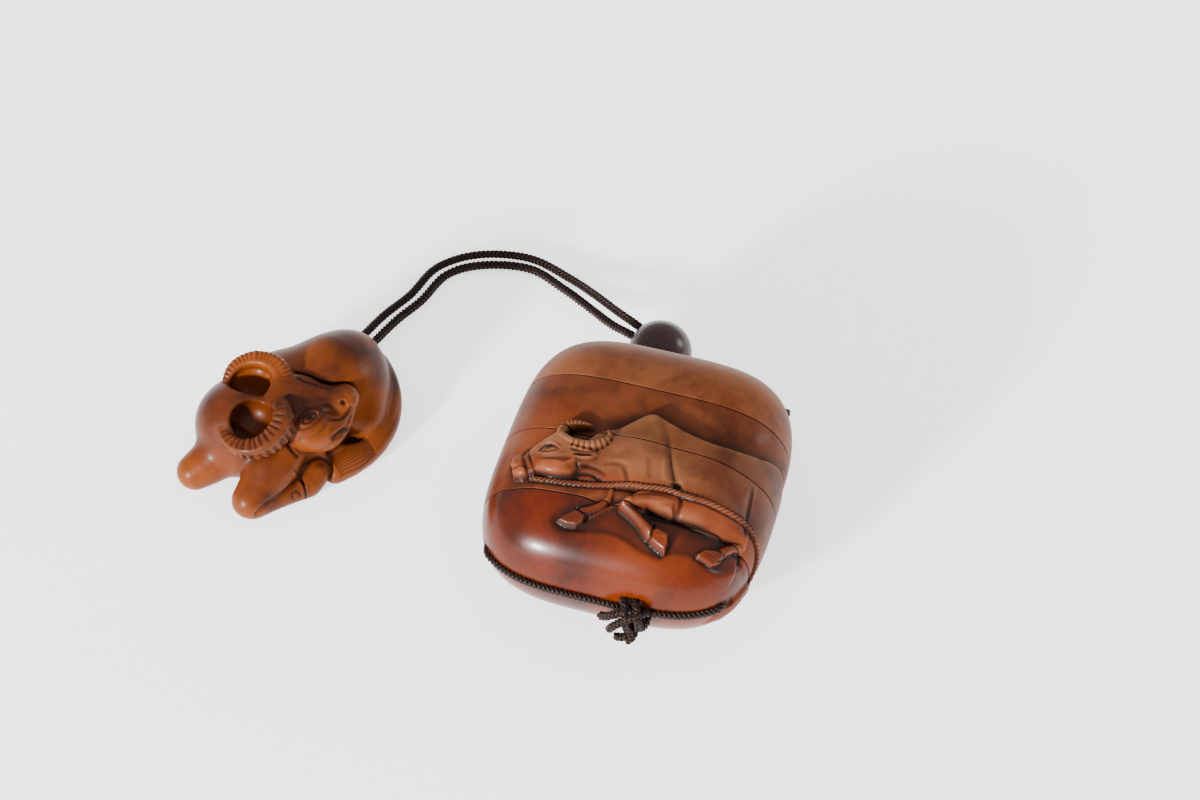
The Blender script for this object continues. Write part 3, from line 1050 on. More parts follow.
# seat for the turned head, then the head, then the hollows inside the horn loops
for part, spare in (("face", 0.2), ("jaw", 0.3)):
    block.limb(sweep(*shape[part]) + (0, 0, 0.4, spare), 0.8, minus=True)
block.limb(sweep(*shape["thighGap"]), 1, minus=True)
block.limb(sweep(*shape["thigh"]), 1.6)
head = Field(shape["low"], shape["high"], shape["cell"])
head.limb(sweep(*shape["face"]), 1.0)
head.limb(sweep(*shape["jaw"]), 1.6)
head.ellipsoid(*shape["cheek"])
head.ellipsoid(*shape["poll"])
block.join((slice(None),) * 3, head.value, 0.5)
block.limb(sweep(*shape["bowlRim"]), 1.2)
block.limb(loopRound(*shape["hornSeat"]), 0.8)
for one in shape["hollows"]:
    block.ellipsoid(*one, minus=True)
bandHorn(block, loopRound(*shape["hornFar"]), shape["ridges"][0], -0.5, 0.34)
bandHorn(block, loopRound(*shape["hornNear"]), shape["ridges"][1], 0.6, 0.4)
for hole in shape["holes"]:
    block.limb(hole, 0.3, minus=True)
gz = block.axes[2][None, None, :].astype(np.float32)
block.value = np.maximum(block.value, -gz + 0.02)
netVerts, netQuads = block.skinned()
for _ in range(3):  # ease the small steps the grid leaves
    total, count = np.zeros_like(netVerts), np.zeros(len(netVerts))
    for k in range(4):
        i, j = netQuads[:, k], netQuads[:, (k + 1) % 4]
        for p, q in ((i, j), (j, i)):
            count += np.bincount(p, minlength=len(netVerts))
            for axis in range(3):
                total[:, axis] += np.bincount(p, netVerts[q, axis], len(netVerts))
    eased = total / count[:, None]
    eased[:, 2] = np.where(netVerts[:, 2] < 0.3, netVerts[:, 2], eased[:, 2])
    netVerts = 0.45 * netVerts + 0.55 * eased
bulk = np.clip(block.value, -1.6, 1.6)
at = np.clip((netVerts - block.low) / block.cell, 0, np.array(block.shape) - 1.001)
corner, part = at.astype(int), at % 1
near, wide = np.zeros(len(at)), np.zeros(len(at))
for soft, out in ((0.5, near), (1.3, wide)):
    field = blur3(bulk, soft / block.cell)
    for i in (0, 1):
        for j in (0, 1):
            for k in (0, 1):
                share = np.prod(np.where((i, j, k), part, 1 - part), axis=1)
                out += share * field[tuple((corner + (i, j, k)).T)]
netMaps = {"stain": 2.8 * np.clip(-near - 0.03, 0, 1) + 0.9 * np.clip(-wide - 0.08, 0, 1),
           "wear": 2 * np.clip(near - 0.05, 0, 0.5) + 0.5 * np.clip(wide - 0.1, 0, 1),
           "polish": np.zeros(len(netVerts)), "inlay": np.zeros(len(netVerts))}

# Fine carving. A frame is a place, a heading and a lean to the near side in degrees, and the lowest cut.
# A mark is its width, depth (ridges minus), darkness and line, in mm along its frame and down its side.
netsukeLines = {
    "faceFrame": ((-81, 0, 17), 14, 35, 11),
    "eye": ((7, 4.8), (1.45, 0.8), -38),
    "inlay": 0.7,  # the inlay's share of the eye
    "rings": [  # round the eye: width, depth, darkness, how far out, first angle, turn
        (0.3, -0.32, 0, 1.5, 180, 180), (0.28, -0.25, 0, 1.5, 0, 180), (0.2, 0.25, 1, 1.15, 180, 360),
        (0.22, 0.2, 0.6, 2.1, 165, 190), (0.3, 0.25, 0.5, 2.3, 20, 140), (0.6, -0.35, 0, 3.2, 195, 140)],
    "face": [
        (0.4, 0.18, 0.3, [(11, 4.5), (10.3, 6.8), (8.2, 8.6), (5.4, 9.4)]),
        (0.45, -0.16, 0, [(11.6, 5.8), (10.8, 8), (8.6, 9.8), (6, 10.4)]),
        (0.8, -0.2, 0, [(6.5, -2.5), (9.5, -1.5), (12, -1.2)]),
        (0.42, 0.8, 1, [(13.7, 0.9), (14.1, 1.2)]),
        (0.3, -0.22, 0, [(13.1, 0.6), (13.6, 0), (14.4, 0.4), (14.7, 1.1)]),
        (0.28, 0.35, 0.9, [(15.5, 1.8), (13.7, 4.4), (11.6, 4.8)]),
        (0.4, -0.2, 0, [(15, 3.2), (13.4, 5.2), (11.8, 5.6)]),
        (0.35, 0.3, 0.35, [(15.4, 3.6), (14.4, 6.4), (12.6, 9), (10.2, 11.2), (7.5, 12.4)]),
        (0.35, -0.4, 0, [(4.5, -4.6), (6.5, -4), (8, -3)]),
        (0.25, 0.35, 0.9, [(3.7, -4), (6, -3), (10.5, -2)]),
        (0.4, 0.4, 0.8, [(2, 10), (3.5, 12), (5.5, 14)])],
    "legFrame": ((-81, -19.5, 3), 42, 30, 0.3),
    "coronet": [(10.2, -3), (10.9, -1), (11.1, 1), (10.7, 3)],
    "leg": [
        (0.4, 0.5, 0.6, [(-1, 2.6), (1.5, 1.4), (4, 0.8), (7, 0), (10, -1.5)]),
        (0.6, 0.4, 0.5, [(14, -5), (12.5, -4), (11, -2.6)])],
    "hoofRing": ((14.8, -1.4), (3.9, 3), -25, 190, 240),
    "dewclaw": ((8.8, 1.6), (0.9, 0.9), 0, 160, 220),
    "tuftFrame": ((-61, 3.5, 3.2), -126, -20, 0.3),
    "hairs": 9, "hairGap": 0.72,
    "tuft": [(0.5, 0.6, 1, [(3.5, 3.2), (7, 3.8), (11, 3.4)])],
}


def ringLine(middle, size, tilt, first, turn):
    angle = np.radians(first + turn * np.linspace(0, 1, 13))
    c, s = math.cos(math.radians(tilt)), math.sin(math.radians(tilt))
    a, b = size[0] * np.cos(angle), size[1] * np.sin(angle)
    return np.stack([middle[0] + a * c - b * s, middle[1] + a * s + b * c], -1)


def laidFlat(origin, heading, lean, lowest):
    # every point along the frame's heading and down its near side, and how squarely it faces out
    h, tip = math.radians(heading), math.radians(lean)
    ahead = np.array([math.cos(h), math.sin(h), 0])
    side = np.array([math.sin(h), -math.cos(h), 0])
    up = np.array([0, 0, 1])
    rel = netVerts - origin
    facing = normals @ (up * math.cos(tip) + side * math.sin(tip))
    flat = np.stack([rel @ ahead, rel @ (side * math.cos(tip) - up * math.sin(tip))], -1)
    return flat, np.where(netVerts[:, 2] > lowest, facing, 0)


def cutLines(flat, facing, marks):
    for width, depth, dark, line in marks:
        line = throughPoints([(*p, 0) for p in line], 0.15)[:, :2]
        lo, hi = line.min(0) - 3 * width, line.max(0) + 3 * width
        pick = np.nonzero(((flat > lo) & (flat < hi)).all(1) & (facing > 0.12))[0]
        reach = np.sqrt(((flat[pick, None] - line[None]) ** 2).sum(-1).min(1))
        touch = np.exp(-(reach / width) ** 2)
        push[pick] -= depth * touch * np.minimum(1, 1.6 * facing[pick])
        netMaps["stain"][pick] = np.maximum(netMaps["stain"][pick], dark * touch)


fine, normals, push = netsukeLines, normalsOf(netVerts, netQuads), np.zeros(len(netVerts))
eyeAt, eyeSize, eyeTilt = fine["eye"]
flat, facing = laidFlat(*fine["faceFrame"])
cutLines(flat, facing, fine["face"] + [
    (width, depth, dark, ringLine(eyeAt, (out * eyeSize[0], out * eyeSize[1]), eyeTilt, first, turn))
    for width, depth, dark, out, first, turn in fine["rings"]])
c, s = math.cos(math.radians(eyeTilt)), math.sin(math.radians(eyeTilt))
rel = flat - eyeAt
eye = np.hypot((rel[:, 0] * c + rel[:, 1] * s) / eyeSize[0], (rel[:, 1] * c - rel[:, 0] * s) / eyeSize[1])
eye /= fine["inlay"]
inEye = facing > 0.1
netMaps["inlay"] = smooth(1.05, 0.9, eye) * inEye * (0.7 + 0.3 * smooth(0.65, 0.45, eye))
push += 0.25 * np.sqrt(np.clip(1 - eye ** 2, 0, 1)) * inEye
ring = fine["coronet"]
cutLines(*laidFlat(*fine["legFrame"]), fine["leg"] + [
    (0.28, 0.3, 0.9, ring), (0.25, -0.22, 0, [(a - 0.5, b) for a, b in ring]),
    (0.35, 0.45, 0.9, ringLine(*fine["hoofRing"])), (0.22, 0.25, 0.9, ringLine(*fine["dewclaw"]))])
strands = [fine["hairGap"] * (k - (fine["hairs"] - 1) / 2) for k in range(fine["hairs"])]
cutLines(*laidFlat(*fine["tuftFrame"]), fine["tuft"] + [
    (0.2, 0.26, 0.7, [(2, 0.7 * b), (6, b), (11, 0.9 * b + 0.3)]) for b in strands])
netVerts += normalsOf(netVerts, netQuads) * push[:, None]
netVerts[:, 2] = np.maximum(netVerts[:, 2], 0)
netsuke = quickMesh("netsukePiece", netVerts * mm, netQuads)
keepMaps(netsuke.data, netMaps)
print("netsuke", len(netQuads))


# ---- ojime bead ----
beadShape = {"diameter": 14.2, "bore": 5.6, "lip": 0.5, "at": (-7.6, 43.9, 7.1),
             "dir": (-0.8412, 0.5408, 0), "around": 96}


def makeBead():
    b = beadShape
    r, bore, lip = b["diameter"] / 2, b["bore"] / 2, b["lip"]
    reach = math.sqrt(r * r - (bore + lip) ** 2)
    start = math.asin(reach / r)
    profile = [(r * math.cos(a), r * math.sin(a)) for a in np.linspace(-start, start, 49)]
    for a in np.linspace(0, math.pi / 2, 5)[1:]:
        profile.append((bore + lip * (1 - math.sin(a)), reach - lip * 0.6 * (1 - math.cos(a))))
    inner = [(bore, y) for y in np.linspace(reach - lip * 0.6, -reach + lip * 0.6, 9)[1:]]
    profile += inner
    for a in np.linspace(math.pi / 2, 0, 5)[1:-1]:
        profile.append((bore + lip * (1 - math.sin(a)), -reach + lip * 0.6 * (1 - math.cos(a))))
    axis = Vector(b["dir"]).normalized()
    across = axis.cross(Vector((0, 0, 1))).normalized()
    up = across.cross(axis)
    n, m = b["around"], len(profile)
    verts = []
    for i in range(n):
        a = 2 * math.pi * i / n
        out = across * math.cos(a) + up * math.sin(a)
        for radius, along in profile:
            verts.append(tuple((Vector(b["at"]) + out * radius + axis * along) * mm))
    faces = [(i * m + j, ((i + 1) % n) * m + j, ((i + 1) % n) * m + (j + 1) % m, i * m + (j + 1) % m)
             for i in range(n) for j in range(m)]
    bead = newObject("ojimePiece", verts, faces)
    bm = bmesh.new()
    bm.from_mesh(bead.data)
    bmesh.ops.recalc_face_normals(bm, faces=bm.faces)
    bm.to_mesh(bead.data)
    bm.free()
    return bead


bead = makeBead()
print("bead turned")


silkBraid = bpy.data.materials.new("brownSilkBraid")
silkBraid.use_nodes = True


# ---- braided silk cord: eight strands, four each way, over and under a quarter turn at a time ----
cordShape = {
    "diameter": 2.2, "core": 0.64, "wave": 0.15, "strand": 0.33, "pitch": 4.0, "step": 0.36, "strandSides": 6,
    "crossings": 2, "sink": -0.02,
}


def braidTree():
    tree = bpy.data.node_groups.new("braid", "GeometryNodeTree")
    face = tree.interface
    face.new_socket("Geometry", in_out="INPUT", socket_type="NodeSocketGeometry")
    for name in ("Core", "Wave", "Strand", "Pitch", "Step", "Turn"):
        face.new_socket(name, in_out="INPUT", socket_type="NodeSocketFloat")
    face.new_socket("Material", in_out="INPUT", socket_type="NodeSocketMaterial")
    face.new_socket("Geometry", in_out="OUTPUT", socket_type="NodeSocketGeometry")
    line, core, wave, strand, pitch, stepSize, turn, material = list(add(tree, "NodeGroupInput").outputs)[:8]
    flow = add(tree, "GeometryNodeResampleCurve", {0: line, "Length": stepSize}, mode="LENGTH")
    kept = {"outward": (add(tree, "GeometryNodeInputNormal").outputs[0], "FLOAT_VECTOR"),
            "forward": (add(tree, "GeometryNodeInputTangent").outputs[0], "FLOAT_VECTOR"),
            "run": (add(tree, "GeometryNodeSplineParameter").outputs[1], "FLOAT")}
    for name, (value, kind) in kept.items():
        flow = add(tree, "GeometryNodeStoreNamedAttribute", {0: flow, "Name": name, "Value": value},
                   data_type=kind, domain="POINT")
    outward, forward, run = (add(tree, "GeometryNodeInputNamedAttribute", {0: name}, data_type=kind)
                             for name, (_, kind) in kept.items())
    copies = add(tree, "GeometryNodeDuplicateElements", {0: flow, "Amount": 8}, domain="SPLINE")
    index = copies.outputs[1]
    parity = add(tree, "ShaderNodeMath", {0: index, 1: 2}, operation="MODULO")
    way = add(tree, "ShaderNodeMath", {0: parity, 1: 2, 2: -1}, operation="MULTIPLY_ADD")
    pair = add(tree, "ShaderNodeMath",
               {0: add(tree, "ShaderNodeMath", {0: index, 1: 0.5}, operation="MULTIPLY")},
               operation="FLOOR")
    start = add(tree, "ShaderNodeMath", {0: pair, 1: math.pi / 2}, operation="MULTIPLY")
    turns = add(tree, "ShaderNodeMath", {0: run, 1: pitch}, operation="DIVIDE")
    wind = add(tree, "ShaderNodeMath", {0: turns, 1: 2 * math.pi}, operation="MULTIPLY")
    angle = add(tree, "ShaderNodeMath", {0: wind, 1: way, 2: start}, operation="MULTIPLY_ADD")
    phase = add(tree, "ShaderNodeMath", {0: angle, 1: cordShape["crossings"], 2: math.pi / 2},
                operation="MULTIPLY_ADD")
    rise = add(tree, "ShaderNodeMath",
               {0: way, 1: add(tree, "ShaderNodeMath", {0: phase}, operation="COSINE")},
               operation="MULTIPLY")
    radius = add(tree, "ShaderNodeMath", {0: wave, 1: rise, 2: core}, operation="MULTIPLY_ADD")
    placed = add(tree, "ShaderNodeMath", {0: angle, 1: turn}, operation="ADD")
    side = add(tree, "ShaderNodeVectorMath", {0: forward, 1: outward}, operation="CROSS_PRODUCT")
    move = None
    for axis, wheel in ((outward, "COSINE"), (side, "SINE")):
        swing = add(tree, "ShaderNodeMath",
                    {0: radius, 1: add(tree, "ShaderNodeMath", {0: placed}, operation=wheel)},
                    operation="MULTIPLY")
        part = add(tree, "ShaderNodeVectorMath", {0: axis, "Scale": swing}, operation="SCALE")
        move = part if move is None else add(tree, "ShaderNodeVectorMath", {0: move, 1: part},
                                             operation="ADD")
    strands = add(tree, "GeometryNodeSetPosition", {0: copies, "Offset": move})
    profile = add(tree, "GeometryNodeCurvePrimitiveCircle",
                  {"Resolution": cordShape["strandSides"], "Radius": strand}, mode="RADIUS")
    solid = add(tree, "GeometryNodeCurveToMesh", {0: strands, 1: profile, "Fill Caps": True})
    real = add(tree, "GeometryNodeRealizeInstances", {0: solid})
    add(tree, "NodeGroupOutput", {0: add(tree, "GeometryNodeSetMaterial", {0: real, "Material": material})})
    return tree


braid = braidTree()


def evenLine(points, spacing=0.25):  # centripetal smooth line through points
    p = np.array(points, float)
    ext = np.vstack([2 * p[0] - p[1], p, 2 * p[-1] - p[-2]])
    rows = []
    for i in range(len(p) - 1):
        p0, p1, p2, p3 = ext[i:i + 4]
        t = [0.0]
        for a, b in ((p0, p1), (p1, p2), (p2, p3)):
            t.append(t[-1] + math.sqrt(max(np.linalg.norm(b - a), 1e-6)))
        n = max(3, int(math.ceil(np.linalg.norm(p2 - p1) / spacing)))
        s = (t[1] + (t[2] - t[1]) * np.arange(n) / n)[:, None]
        a1 = (t[1] - s) / (t[1] - t[0]) * p0 + (s - t[0]) / (t[1] - t[0]) * p1
        a2 = (t[2] - s) / (t[2] - t[1]) * p1 + (s - t[1]) / (t[2] - t[1]) * p2
        a3 = (t[3] - s) / (t[3] - t[2]) * p2 + (s - t[2]) / (t[3] - t[2]) * p3
        b1 = (t[2] - s) / (t[2] - t[0]) * a1 + (s - t[0]) / (t[2] - t[0]) * a2
        b2 = (t[3] - s) / (t[3] - t[1]) * a2 + (s - t[1]) / (t[3] - t[1]) * a3
        rows.append((t[2] - s) / (t[2] - t[1]) * b1 + (s - t[1]) / (t[2] - t[1]) * b2)
    rows.append(p[-1:])
    return np.vstack(rows)


def braided(name, lines, turn=0.0, scale=1.0):  # one braid along each line, as one piece
    curve = bpy.data.curves.new(name + "Line", "CURVE")
    curve.dimensions = "3D"
    for line in lines:
        spline = curve.splines.new("POLY")
        spline.points.add(len(line) - 1)
        spline.points.foreach_set("co", np.column_stack([line * mm, np.ones(len(line))]).ravel())
    obj = bpy.data.objects.new(name + "Line", curve)
    bpy.context.scene.collection.objects.link(obj)
    mod = obj.modifiers.new("braid", "NODES")
    mod.node_group = braid
    c = cordShape
    given = {"Core": c["core"] * scale * mm, "Wave": c["wave"] * scale * mm,
             "Strand": c["strand"] * scale * mm,
             "Pitch": c["pitch"] * scale * mm, "Step": c["step"] * mm, "Turn": turn, "Material": silkBraid}
    for item in braid.interface.items_tree:
        if item.in_out == "INPUT" and item.name in given:
            mod[item.identifier] = given[item.name]
    bpy.context.view_layer.update()
    made = bpy.data.meshes.new_from_object(obj.evaluated_get(bpy.context.evaluated_depsgraph_get()))
    made.name = name
    made.shade_smooth()
    bpy.data.objects.remove(obj)
    out = bpy.data.objects.new(name, made)
    bpy.context.scene.collection.objects.link(out)
    return out


def beadSide(side, along):
    dx, dy, _ = beadShape["dir"]
    s = side * 1.25
    x, y, z = beadShape["at"]
    return (x + dx * along + dy * s, y + dy * along - dx * s, z + s * 0.3)


strandLeft = [
    (-25.2, 25.8, 16.2), (-25.2, 28.6, 16.2), (-23.6, 32, 14.8), (-18.8, 33.6, 11.4), (-13.4, 32.6, 7.4),
    (-8, 29.6, 3.6), (-2.5, 27.2, 1.8), (2.1, 26.6, 1.4), (5.4, 28, 1.4), (6.6, 31, 1.6), (5.4, 33.9, 2.6),
    (2.2, 36.1, 4.6), beadSide(-1, -8.4), beadSide(-1, 0), beadSide(-1, 6.6), (-21, 50.4, 4.8),
    (-26.8, 54.8, 3),
    (-35, 60, 1.7), (-44.6, 64, 1.4), (-56.3, 61.6, 1.4), (-62.4, 56.8, 1.4), (-65.5, 47.6, 1.4),
    (-68.6, 40.8, 1.8), (-70.9, 32.6, 3), (-72.6, 25.4, 4.2), (-73.6, 20.4, 4.4)]
strandRight = [
    (25.2, 25.8, 16.2), (25.2, 27.6, 15.9), (25, 28.8, 14.4), (23.9, 30.2, 12), (20.8, 32.6, 9.4),
    (15, 35.2, 7.8), (8, 38, 7.6), beadSide(1, -8.4), beadSide(1, 0), beadSide(1, 6.6), (-20.4, 53.4, 6.2),
    (-27, 58.1, 4.5),
    (-34.3, 62.8, 2.6), (-45.3, 66.7, 1.9), (-57.3, 64.3, 1.9), (-65, 58.2, 1.7), (-68.3, 48.4, 1.7),
    (-71.8, 40.6, 2.2), (-74, 32.8, 3.2), (-75.7, 25.4, 4.2), (-76.7, 20.4, 4.4)]


chanX, midZ = hollowShape["channelX"], caseShape["midHeight"]
heldRun = [(-chanX, 25.2, midZ), (-chanX, 10, midZ), (-chanX, -8, midZ), (-chanX, -20, midZ)]
heldRun += [grooveAt((0.755 - 0.051 * i) * math.pi, cordShape["sink"]) for i in range(11)]
heldRun += [(chanX, -20, midZ), (chanX, -8, midZ), (chanX, 10, midZ), (chanX, 25.2, midZ)]

cords = {}
for node, line in (("cord_left", strandLeft), ("cord_right", strandRight), ("cord_case", heldRun)):
    path = evenLine(line)
    long = float(np.linalg.norm(np.diff(path, axis=0), axis=1).sum())
    piece = braided(node.replace("_l", "L").replace("_r", "R").replace("_c", "C"), [path])
    cords[node] = (piece, path, long)
    print(node, "length", round(long, 1), "faces", len(piece.data.polygons))


# ---- the knot tied round the held run at the end of the base, its two cut ends beside it ----
knotShape = {
    "scale": 0.92,
    "lines": [
        [(11, -31.2, 15), (11.2, -33.6, 13.9), (10.6, -35.7, 15.2), (10, -35.4, 17.8), (9.2, -33.4, 19.2),
         (8, -31.6, 18.6)],
        [(9, -31.4, 14.2), (8.8, -34, 13), (8.2, -36.4, 14.6), (7.4, -36, 17.6), (6.8, -33.8, 19.2),
         (5.8, -31.8, 18.4)],
        [(11.6, -33, 17.6), (9.2, -35.6, 18.2), (6.6, -36.6, 16.6), (5, -36.8, 14.8), (4.2, -36.4, 13)],
        [(11.2, -34, 15.4), (8.8, -36.2, 13.2), (7, -37, 12.2), (5.6, -36.8, 11.8)],
        [(7.2, -35, 18.8), (4.8, -35.6, 17.4), (3, -35.4, 15.8), (1.8, -34.6, 14.6)],
        [(9.6, -36, 13.6), (9, -37, 12.4), (8.2, -37.2, 11.6)],
    ],
}
knot = braided("cordKnot", [evenLine(line) for line in knotShape["lines"]], 0.4, knotShape["scale"])
print("knot", len(knot.data.polygons))


# ---- woods, silk and inlay ----
def carvedWood(name, look):
    # stained and waxed boxwood: cloudy stain over fine straight grain along the case, old dirt held in the
    # hollows, rubbed edges paler; the wax gives it a soft gloss
    material = bpy.data.materials.new(name)
    material.use_nodes = True
    tree = material.node_tree
    wood = tree.nodes["Principled BSDF"]
    at = add(tree, "ShaderNodeTexCoord").outputs["Object"]
    kept = {a: add(tree, "ShaderNodeAttribute", attribute_name=a).outputs["Fac"]
            for a in ("stain", "polish", "inlay", "wear")}
    cloud = add(tree, "ShaderNodeTexNoise", {"Vector": at, "Scale": 95, "Detail": 4, "Roughness": 0.55})
    patch = add(tree, "ShaderNodeTexNoise", {"Vector": at, "Scale": 42, "Detail": 2, "Distortion": 0.6})
    along = add(tree, "ShaderNodeMapping", {"Vector": at, "Scale": look["grain"]})
    grain = add(tree, "ShaderNodeTexNoise", {"Vector": along, "Scale": 1, "Detail": 3, "Roughness": 0.6})
    pores = add(tree, "ShaderNodeTexNoise", {"Vector": along, "Scale": 4.5, "Detail": 1})
    clouds = add(tree, "ShaderNodeMapRange", {0: cloud, 1: 0.4, 2: 0.6})
    patches = add(tree, "ShaderNodeMapRange", {0: patch, 1: 0.44, 2: 0.62, 4: look["warmth"]})
    streaks = add(tree, "ShaderNodeMapRange", {0: grain, 1: 0.35, 2: 0.7, 3: 1.06, 4: 1 - look["streak"]})
    specks = add(tree, "ShaderNodeMapRange", {0: pores, 1: 0.62, 2: 0.74, 3: 1, 4: 0.86})

    worn = add(tree, "ShaderNodeMapRange",
               {0: cloud, 1: 0.38, 2: 0.6, 3: 0.35 * look["rub"], 4: 1.15 * look["rub"]})
    bareWood = add(tree, "ShaderNodeMath", {0: kept["wear"], 1: look["bare"]}, operation="ADD")
    rubbed = add(tree, "ShaderNodeMath", {0: bareWood, 1: worn}, operation="MULTIPLY", use_clamp=True)
    handled = add(tree, "ShaderNodeMath", {0: kept["polish"], 1: 0.8}, operation="MULTIPLY")
    dirty = add(tree, "ShaderNodeMath", {0: kept["stain"], 1: 0.85}, operation="MULTIPLY", use_clamp=True)
    colour = shade(look["deep"])
    for amount, over, how in (  # laid one over the other, from the raw stain up
            (clouds, shade(look["tone"]), "MIX"), (patches, shade(look["warm"]), "MIX"),
            (1, streaks, "MULTIPLY"), (1, specks, "MULTIPLY"), (rubbed, shade(look["rubbed"]), "MIX"),
            (handled, shade(look["glow"]), "MIX"), (dirty, shade(look["dirt"]), "MIX"),
            (kept["inlay"], shade("#0e0503"), "MIX")):
        colour = add(tree, "ShaderNodeMix", {0: amount, 6: colour, 7: over}, data_type="RGBA",
                     blend_type=how).outputs[2]
    dull = add(tree, "ShaderNodeMath", {0: kept["stain"], 1: 0.3, 2: look["gloss"]}, operation="MULTIPLY_ADD")
    uneven = add(tree, "ShaderNodeMath", {0: cloud, 1: 0.1, 2: dull}, operation="MULTIPLY_ADD")
    dry = add(tree, "ShaderNodeMath", {0: kept["inlay"], 1: -0.12, 2: uneven}, operation="MULTIPLY_ADD")
    tree.links.new(colour, wood.inputs["Base Color"])
    tree.links.new(dry.outputs[0], wood.inputs["Roughness"])
    relief = add(tree, "ShaderNodeBump", {"Height": grain, "Strength": 0.25, "Distance": 0.00006})
    tree.links.new(relief.outputs[0], wood.inputs["Normal"])
    wood.inputs["Specular IOR Level"].default_value = look["sheen"]
    wood.inputs["Coat Weight"].default_value = look["wax"]
    wood.inputs["Coat Roughness"].default_value = 0.6 * look["gloss"]
    return material


caseWood = {  # the lid is tanner, the lower pieces redder, and the ends glossier from the hand
    "lid": {"bare": 0.5, "tone": "#6a2e0c", "deep": "#4e1b05", "warm": "#7b3b0d", "glow": "#8a3306",
            "rubbed": "#87522f",
            "dirt": "#200c03", "grain": (1100, 70, 1100), "streak": 0.14, "warmth": 0.5, "rub": 0.9,
            "gloss": 0.42, "sheen": 0.09,
            "wax": 0.08},
    "tierUpper": {"bare": 0.26, "tone": "#5a2105", "deep": "#401503", "warm": "#702b05", "glow": "#812f05",
                  "rubbed": "#7b4b2c",
                  "dirt": "#1c0c04", "grain": (1100, 70, 1100), "streak": 0.14, "warmth": 0.6, "rub": 0.8,
                  "sheen": 0.09,
                  "gloss": 0.4, "wax": 0.1},
    "tierMiddle": {"bare": 0.24, "tone": "#5b2005", "deep": "#421503", "warm": "#742c05", "glow": "#8e3305",
                   "rubbed": "#814f31",
                   "dirt": "#1b0b04", "grain": (1100, 70, 1100), "streak": 0.14, "warmth": 0.6, "rub": 0.85,
                   "sheen": 0.09,
                   "gloss": 0.4, "wax": 0.1},
    "base": {"bare": 0, "tone": "#501502", "deep": "#300b02", "warm": "#6a2804", "glow": "#742c06",
             "rubbed": "#7a3c18",
             "dirt": "#1a0a03", "grain": (1100, 70, 1100), "streak": 0.12, "warmth": 0.6, "rub": 0.35,
             "gloss": 0.24, "sheen": 0.14,
             "wax": 0.12},
    "netsuke": {"bare": 0.1, "tone": "#4d1c05", "deep": "#331002", "warm": "#7b3805", "glow": "#983f08",
                "rubbed": "#8f5228",
                "dirt": "#180b04", "grain": (700, 110, 700), "streak": 0.12, "warmth": 0.6, "rub": 0.5,
                "sheen": 0.12, "gloss": 0.36,
                "wax": 0.06},
}
beadWood = {"heart": "#200a04", "sap": "#33130a", "ring": (900, 900, 260), "gloss": 0.3}
silkLook = {"deep": "#0c0503", "lit": "#26120b", "fuzz": 0.04, "gloss": 0.42}

for piece, key, woodName in ((lid, "lid", "lidStainedBoxwood"),
                             (tierUpper, "tierUpper", "upperTierStainedBoxwood"),
                             (tierMiddle, "tierMiddle", "middleTierStainedBoxwood"),
                             (base, "base", "baseHandPolishedBoxwood"),
                             (netsuke, "netsuke", "netsukeWaxedBoxwood")):
    piece.data.materials.clear()
    piece.data.materials.append(carvedWood(woodName, caseWood[key]))
    piece.data.set_sharp_from_angle(angle=math.radians(55))

# turned and oiled dark hardwood: fine darker rings, the oil leaves a tight bright gloss
turned = bpy.data.materials.new("beadTurnedHardwood")
turned.use_nodes = True
tree = turned.node_tree
wood = tree.nodes["Principled BSDF"]
at = add(tree, "ShaderNodeTexCoord").outputs["Object"]
rings = add(tree, "ShaderNodeTexNoise",
            {"Vector": add(tree, "ShaderNodeMapping", {"Vector": at, "Scale": beadWood["ring"]}),
                                         "Scale": 1, "Detail": 3})
tint = add(tree, "ShaderNodeMix", {0: add(tree, "ShaderNodeMapRange", {0: rings, 1: 0.35, 2: 0.65}),
                                   6: shade(beadWood["heart"]), 7: shade(beadWood["sap"])}, data_type="RGBA")
tree.links.new(tint.outputs[2], wood.inputs["Base Color"])
wood.inputs["Roughness"].default_value = beadWood["gloss"]
wood.inputs["Specular IOR Level"].default_value = 0.3
wood.inputs["Coat Weight"].default_value = 0.08
wood.inputs["Coat Roughness"].default_value = 0.08
bead.data.materials.append(turned)

# dyed silk, tightly plaited: dark, with a satin lift where the strands crown
tree = silkBraid.node_tree
silk = tree.nodes["Principled BSDF"]
at = add(tree, "ShaderNodeTexCoord").outputs["Object"]
threads = add(tree, "ShaderNodeTexNoise", {"Vector": at, "Scale": 1700, "Detail": 2})
tint = add(tree, "ShaderNodeMix", {0: add(tree, "ShaderNodeMapRange", {0: threads, 1: 0.35, 2: 0.65}),
                                   6: shade(silkLook["deep"]), 7: shade(silkLook["lit"])}, data_type="RGBA")
tree.links.new(tint.outputs[2], silk.inputs["Base Color"])
tree.links.new(add(tree, "ShaderNodeBump",
                   {"Height": threads, "Strength": 0.5, "Distance": 0.00008}).outputs[0],
               silk.inputs["Normal"])
silk.inputs["Roughness"].default_value = silkLook["gloss"]
silk.inputs["Specular IOR Level"].default_value = 0.14
silk.inputs["Sheen Weight"].default_value = silkLook["fuzz"]
silk.inputs["Sheen Roughness"].default_value = 0.4
print("woods and silk made")


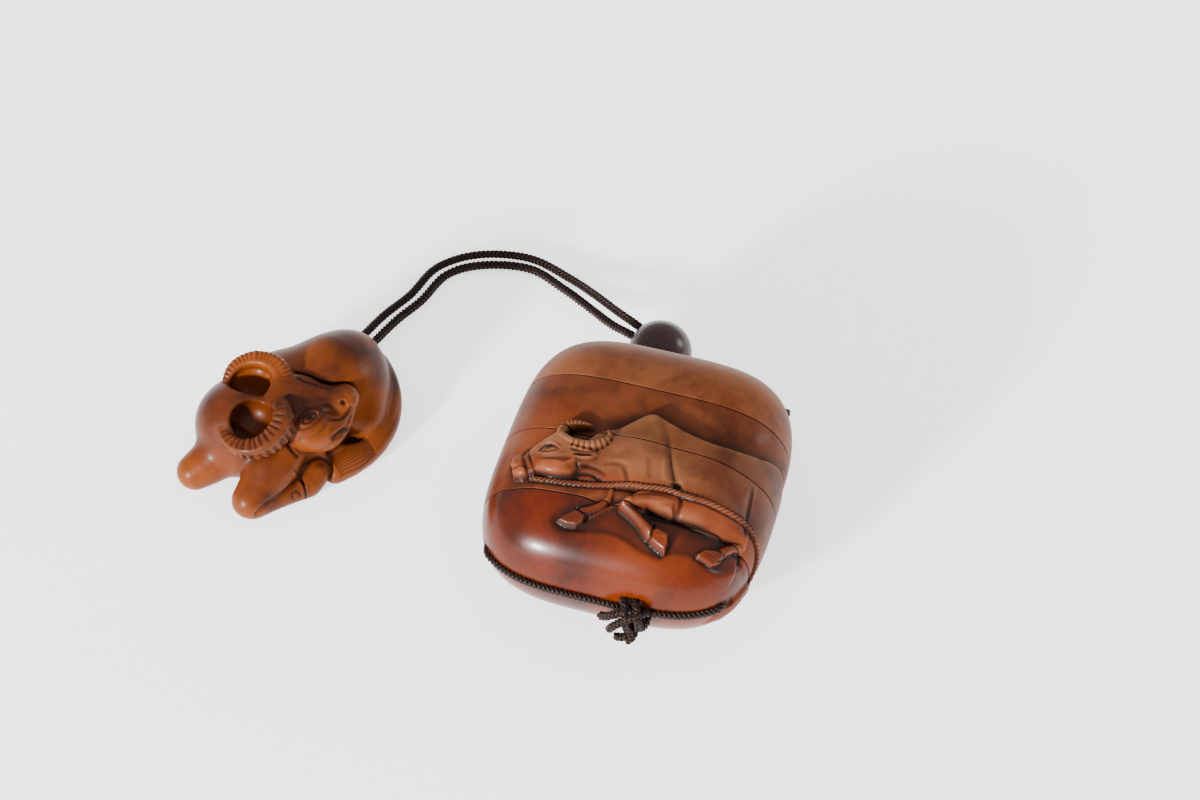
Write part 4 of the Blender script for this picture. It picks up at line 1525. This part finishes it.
# ---- white studio floor and soft boxes ----
studio = {
    "floor": 3.0, "floorTone": "#f4f2f1", "sky": 1.0, "tableGlow": 1.4,
    "boxes": [  # place, size, watts
        ((-0.72, -1.48, 0.5), 0.18, 85),
        ((1.5, 0.95, 0.6), 0.6, 10),
    ],
}
floor = newObject("floor",
                  [(x * studio["floor"], y * studio["floor"], 0) for x,
                   y in ((-1, -1), (1, -1), (1, 1), (-1, 1))],
                  [(0, 1, 2, 3)])
# matt white paper sweep: bright and even, holding only soft shadows
paper = bpy.data.materials.new("floorWhitePaper")
paper.use_nodes = True
tree = paper.node_tree
sheet = tree.nodes["Principled BSDF"]
fibre = add(tree, "ShaderNodeTexNoise",
            {"Vector": add(tree, "ShaderNodeTexCoord").outputs["Object"], "Scale": 600})
tint = add(tree, "ShaderNodeMix", {0: fibre, 6: shade(studio["floorTone"]), 7: shade("#fbfaf9")},
           data_type="RGBA")
tree.links.new(tint.outputs[2], sheet.inputs["Base Color"])
sheet.inputs["Roughness"].default_value = 0.85
sheet.inputs["Specular IOR Level"].default_value = 0.1
sheet.inputs["Emission Color"].default_value = (1, 1, 1, 1)
sheet.inputs["Emission Strength"].default_value = studio["tableGlow"]
floor.data.materials.append(paper)

world = bpy.data.worlds.new("studio")
bpy.context.scene.world = world
world.use_nodes = True
world.node_tree.nodes["Background"].inputs[0].default_value = (1, 1, 1, 1)
world.node_tree.nodes["Background"].inputs[1].default_value = studio["sky"]
for number, (place, size, watts) in enumerate(studio["boxes"]):
    box = bpy.data.lights.new("softBox" + str(number), "AREA")
    box.energy, box.size = watts, size
    lamp = bpy.data.objects.new(box.name, box)
    bpy.context.scene.collection.objects.link(lamp)
    lamp.location = place
    lamp.rotation_euler = (-Vector(place)).to_track_quat("-Z", "Y").to_euler()

pieces = {"lid": lid, "tier_upper": tierUpper, "tier_middle": tierMiddle, "base": base, "netsuke": netsuke}
for node, piece in pieces.items():
    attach(piece, "root")
    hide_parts(node)
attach(bead, "root")
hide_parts("ojime")
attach(knot, "root")
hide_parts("knot")
for node, (piece, path, long) in cords.items():
    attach(piece, "root")
    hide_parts(node)
